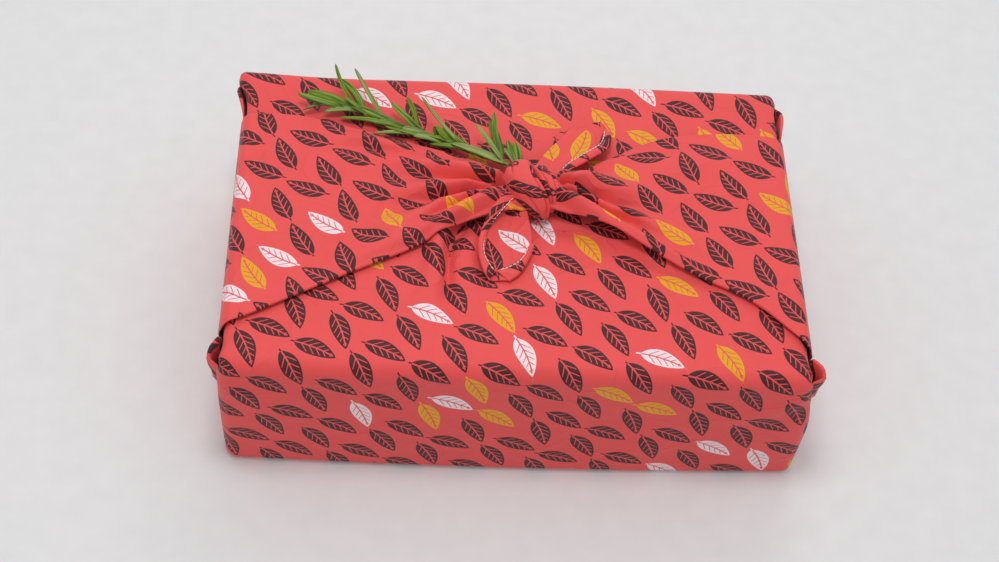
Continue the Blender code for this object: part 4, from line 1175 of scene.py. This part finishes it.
# ---------------------------------------------------------------- materials
class Value:
    """A number, vector or colour that a material's nodes work out, for use in formulas."""

    def __init__(self, graph, socket):
        self.graph = graph
        self.socket = socket

    def __add__(self, other):
        return self.graph.math("ADD", self, other)

    def __sub__(self, other):
        return self.graph.math("SUBTRACT", self, other)

    def __rsub__(self, other):
        return self.graph.math("SUBTRACT", other, self)

    def __mul__(self, other):
        return self.graph.math("MULTIPLY", self, other)

    def __mod__(self, other):
        return self.graph.math("MODULO", self, other)

    def __pow__(self, other):
        return self.graph.math("POWER", self, other)

    def __abs__(self):
        return self.graph.math("ABSOLUTE", self)

    def __floor__(self):
        return self.graph.math("FLOOR", self)


class Graph:
    """Makes a material from nodes, with formulas in Values."""

    def __init__(self, name):
        self.material = bpy.data.materials.new(name)
        self.material.use_nodes = True
        self.tree = self.material.node_tree
        self.shader = self.tree.nodes["Principled BSDF"]

    def put(self, socket, value):
        if isinstance(value, Value):
            self.tree.links.new(value.socket, socket)
        else:
            socket.default_value = value

    def node(self, kind, inputs, **settings):
        """A node with its settings made and its inputs filled, by name or by number."""
        made = self.tree.nodes.new(kind)
        for key, value in settings.items():
            setattr(made, key, value)
        for key, value in inputs.items():
            self.put(made.inputs[key], value)
        return made

    def value(self, kind, inputs, output=0, **settings):
        return Value(self, self.node(kind, inputs, **settings).outputs[output])

    def finish(self, **inputs):
        """Fills the shader's inputs, given with underscores for spaces, and returns the material."""
        for key, value in inputs.items():
            self.put(self.shader.inputs[key.replace("_", " ")], value)
        return self.material

    def math(self, operation, a, b=0.0):
        return self.value("ShaderNodeMath", {0: a, 1: b, 2: 0.0}, operation=operation)

    def blend(self, share, a, b):
        a, b = (value if isinstance(value, Value) else (*value, 1.0) for value in (a, b))
        return self.value("ShaderNodeMix", {"Factor": share, "A": a, "B": b}, "Result", data_type="RGBA")

    def step(self, value, edge, soft):
        """0 below edge, 1 above it, over a soft stretch."""
        inputs = {"Value": value, "From Min": edge - soft, "From Max": edge + soft}
        return self.value("ShaderNodeMapRange", inputs, "Result", interpolation_type="SMOOTHSTEP")

    def noise(self, vector, scale, detail=2.0, distortion=0.0):
        inputs = {"Vector": vector, "Scale": scale, "Detail": detail, "Distortion": distortion}
        return self.value("ShaderNodeTexNoise", inputs)

    def bump(self, height, strength, distance):
        return self.value("ShaderNodeBump", {"Height": height, "Strength": strength, "Distance": distance})

    def mapping(self, **inputs):
        return self.value("ShaderNodeMapping", inputs)

    def flat_place(self):
        return self.value("ShaderNodeUVMap", {}, uv_map="flat")

    def split(self, vector):
        return [Value(self, socket) for socket in self.node("ShaderNodeSeparateXYZ", {0: vector}).outputs]


def linear(r, g, b):
    """A colour given in 0 to 255 as a screen shows it."""
    shares = [value / 255 for value in (r, g, b)]
    return tuple(share / 12.92 if share <= 0.04045 else ((share + 0.055) / 1.055) ** 2.4 for share in shares)


CORAL = linear(231, 78, 77)
CHARCOAL = linear(71, 23, 27)
YELLOW = linear(226, 160, 10)
WHITE = linear(236, 218, 222)
THREAD_WHITES = (linear(222, 208, 210), linear(250, 244, 244))
LEAF_TOP = (linear(44, 72, 0), linear(128, 158, 6))
LEAF_UNDER = (linear(104, 124, 48), linear(160, 174, 104))
TABLE_GREY = linear(230, 229, 229)
CARD_GREY = linear(200, 190, 175)
STREAKS = (60, 900, 1)      # how many streaks a metre, along and across a leaf


def leaf_print(graph, uv):
    """Leaves in half-drop columns, leaning to and fro: returns their mask and a random number for each."""
    u, v, _ = graph.split(uv)
    scale = 1000 / math.sqrt(2)     # from metres along the cloth to millimetres along the leaves' rows
    a, b = (u + v) * scale, (u - v) * scale
    column = math.floor(a * (1 / MOTIF_COLUMN))
    shifted = b + (abs(column) % 2.0) * (MOTIF_ROW / 2)
    row = math.floor(shifted * (1 / MOTIF_ROW))
    x = a - (column + 0.5) * MOTIF_COLUMN
    y = shifted - (row + 0.5) * MOTIF_ROW
    cell = graph.value("ShaderNodeCombineXYZ", {0: column, 1: row})
    random = graph.node("ShaderNodeTexWhiteNoise", {"Vector": cell}, noise_dimensions="2D").outputs
    chance, colour = Value(graph, random["Value"]), Value(graph, random["Color"])
    second_chance = graph.value("ShaderNodeSeparateColor", {0: colour}, 1)
    to_and_fro = (abs(column + row) % 2.0) * 2.0 - 1.0
    lean = to_and_fro * math.radians(MOTIF_LEAN["degrees"]) + (second_chance - 0.5) * MOTIF_LEAN["spread"]
    cos, sin = graph.math("COSINE", lean), graph.math("SINE", lean)
    return leaf_shape(graph, x * cos + y * sin, y * cos - x * sin), chance


def leaf_shape(graph, x, y):
    """Mask of one leaf, with its midrib and side veins left open, and its stalk."""
    t = x * (2 / MOTIF_LEAF["length"])
    body = 1.0 - t * t
    side = abs(y - body * MOTIF_LEAF["bend"])
    rounded = graph.math("MAXIMUM", body, 0.0) ** MOTIF_LEAF["blunt"]
    from_rim = rounded * MOTIF_LEAF["half"] * (1.0 - t * MOTIF_LEAF["slimmer_tip"]) - side
    phase = graph.math("FRACT", (x - side * VEIN["slope"]) * (1 / VEIN["pitch"]))
    vein = (graph.step(abs(phase - 0.5), 0.5 - VEIN["half"], VEIN_EDGE)
            * graph.step(from_rim, VEIN["inset"], INK_EDGE))
    midrib = ((1.0 - graph.step(side, MIDRIB["half"], LINE_EDGE))
              * graph.step(MIDRIB["end"] - t, 0.0, VEIN_EDGE))
    leaf = graph.step(from_rim, 0.0, INK_EDGE) * (1.0 - graph.math("MAXIMUM", vein, midrib))
    below_foot = (graph.step(-STALK["from"] - t, 0.0, END_EDGE)
                  * graph.step(t + STALK["end"], 0.0, END_EDGE))
    stalk = (1.0 - graph.step(side, STALK["half"], LINE_EDGE)) * below_foot
    return graph.math("MAXIMUM", leaf, stalk)


def weave_height(graph, uv):
    """Height of a plain weave whose threads run along the cloth's own sides."""
    across, along, _ = graph.split(graph.mapping(Rotation=(0, 0, math.radians(45)), Vector=uv))
    k = 2 * math.pi / THREAD_PITCH
    return graph.math("SINE", across * k) * 0.5 + graph.math("SINE", along * k) * 0.5


def cotton_material():
    graph = Graph("printed_cotton")
    uv = graph.flat_place()
    mask, chance = leaf_print(graph, uv)
    darkest, brightest = (tuple(share * value for value in CORAL) for share in MOTTLE)
    ground = graph.blend(graph.noise(uv, scale=60, detail=3), darkest, brightest)
    yellow, white = (graph.step(chance, edge, CHANCE_EDGE) for edge in (YELLOW_FROM, WHITE_FROM))
    ink = graph.blend(white, graph.blend(yellow, CHARCOAL, YELLOW), WHITE)
    crinkle = graph.noise(uv, scale=150, detail=4)
    ridge = 1.0 - abs(graph.noise(uv, scale=26, distortion=0.6) * 2.0 - 1.0)
    height = weave_height(graph, uv) * WEAVE_SHARE + crinkle + ridge ** RIDGE["sharpness"] * RIDGE["height"]
    return graph.finish(Base_Color=graph.blend(mask, ground, ink), Roughness=0.55, Sheen_Weight=0.1,
                        Sheen_Roughness=0.5, Specular_IOR_Level=0.3,
                        Normal=graph.bump(height, strength=0.6, distance=0.0006))


def leaf_material(name, colours, roughness):
    """Long soft streaks along each leaf, which lies along the first axis of its UV map."""
    graph = Graph(name)
    streaks = graph.noise(graph.mapping(Scale=STREAKS, Vector=graph.flat_place()), scale=1.0, detail=3)
    share = graph.step(streaks, 0.5, 0.22)
    return graph.finish(Base_Color=graph.blend(share, *colours), Roughness=roughness,
                        Normal=graph.bump(streaks, strength=0.4, distance=0.0003))


def mottled_material(name, dark, light, roughness, scale, detail):
    graph = Graph(name)
    position = graph.value("ShaderNodeNewGeometry", {}, "Position")
    return graph.finish(Base_Color=graph.blend(graph.noise(position, scale, detail), dark, light),
                        Roughness=roughness)


def plain_material(name, colour, roughness):
    dark = tuple(0.9 * value for value in colour)
    return mottled_material(name, dark, colour, roughness, scale=90, detail=5)


# ---------------------------------------------------------------- stage
def add_camera():
    azimuth, elevation, roll = (math.radians(CAMERA[key]) for key in ("azimuth", "elevation", "roll"))
    level = math.cos(elevation)
    back = Vector((math.sin(azimuth) * level, -math.cos(azimuth) * level, math.sin(elevation)))
    right = (-back).cross(Vector((0, 0, 1))).normalized()
    up = right.cross(-back)
    rolled_right = right * math.cos(roll) + up * math.sin(roll)
    rolled_up = up * math.cos(roll) - right * math.sin(roll)
    data = bpy.data.cameras.new("camera")
    data.sensor_width = SENSOR_MM
    data.lens = FOCAL_PX / FRAME_PX * SENSOR_MM
    camera = bpy.data.objects.new("camera", data)
    bpy.context.scene.collection.objects.link(camera)
    turn = Matrix((rolled_right, rolled_up, back)).transposed()
    place = Vector(CAMERA["aim"]) + back * CAMERA["distance"]
    camera.matrix_world = Matrix.Translation(place) @ turn.to_4x4()
    bpy.context.scene.camera = camera


def add_stage():
    bpy.context.scene.view_settings.view_transform = "Standard"
    world = bpy.data.worlds.new("studio")
    world.use_nodes = True
    background = world.node_tree.nodes["Background"]
    background.inputs[0].default_value = SKY["colour"]
    background.inputs[1].default_value = SKY["strength"]
    bpy.context.scene.world = world
    bpy.ops.mesh.primitive_plane_add(size=FLOOR_SIDE, location=(0, 0, 0))
    floor = bpy.context.object
    floor.name = "floor"
    floor.data.materials.append(plain_material("pale_table", TABLE_GREY, 0.7))
    for row in LIGHTS:
        data = bpy.data.lights.new(row.name, "AREA")
        data.size = row.size
        data.energy = row.power
        light = bpy.data.objects.new(row.name, data)
        light.location = row.place
        light.rotation_mode = "QUATERNION"
        light.rotation_quaternion = (-Vector(row.place)).to_track_quat("-Z", "Y")
        bpy.context.scene.collection.objects.link(light)


# ---------------------------------------------------------------- the pieces
def build_cloth(material):
    surface = Surface()
    tops = build_walls(surface)
    build_flap(surface, tops["front"], 1, FRONT_FLAP)
    build_flap(surface, tops["back"], -1, BACK_FLAP)
    build_wing(surface, tops["right"], "right")
    build_wing(surface, tops["left"], "left")
    surface.points = [puffed(points) for points in surface.points]
    return thicken(surface.build("wrapping_cloth", material))


def main():
    add_camera()
    add_stage()
    cotton = cotton_material()
    cloth = build_cloth(cotton)
    main_band = build_band(MAIN_BAND, "knot_main_band", cotton, MAIN_CREASES, MAIN_FLAT)
    side_band = build_band(SIDE_BAND, "knot_side_band", cotton, SIDE_CREASES, SIDE_FLAT)
    core = build_core(cotton)
    front_tail, front_lines = build_tail(FRONT_TAIL, "front_tail", cotton, math.pi, FRONT_TAIL_HEM)
    back_tail, back_lines = build_tail(BACK_TAIL, "back_tail", cotton, 0.0)
    thread = build_stitches(front_lines + back_lines,
                            mottled_material("white_thread", *THREAD_WHITES, 0.6, scale=900, detail=2))
    green = leaf_material("rosemary_leaf", LEAF_TOP, 0.5)
    leaves = build_leaves(green, leaf_material("rosemary_underside", LEAF_UNDER, 0.6))
    stem = build_stem(green)
    with_cloth = [main_band, side_band, core, front_tail, back_tail, thread]
    for piece in [cloth, *with_cloth]:
        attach(piece, "root")
    for piece in (leaves, stem):
        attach(piece, "root")
    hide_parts("furoshiki_cloth")
    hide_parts("rosemary_sprig")
    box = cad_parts["gift_box"]
    box.data.materials.clear()
    box.data.materials.append(plain_material("grey_card", CARD_GREY, 0.85))


main()
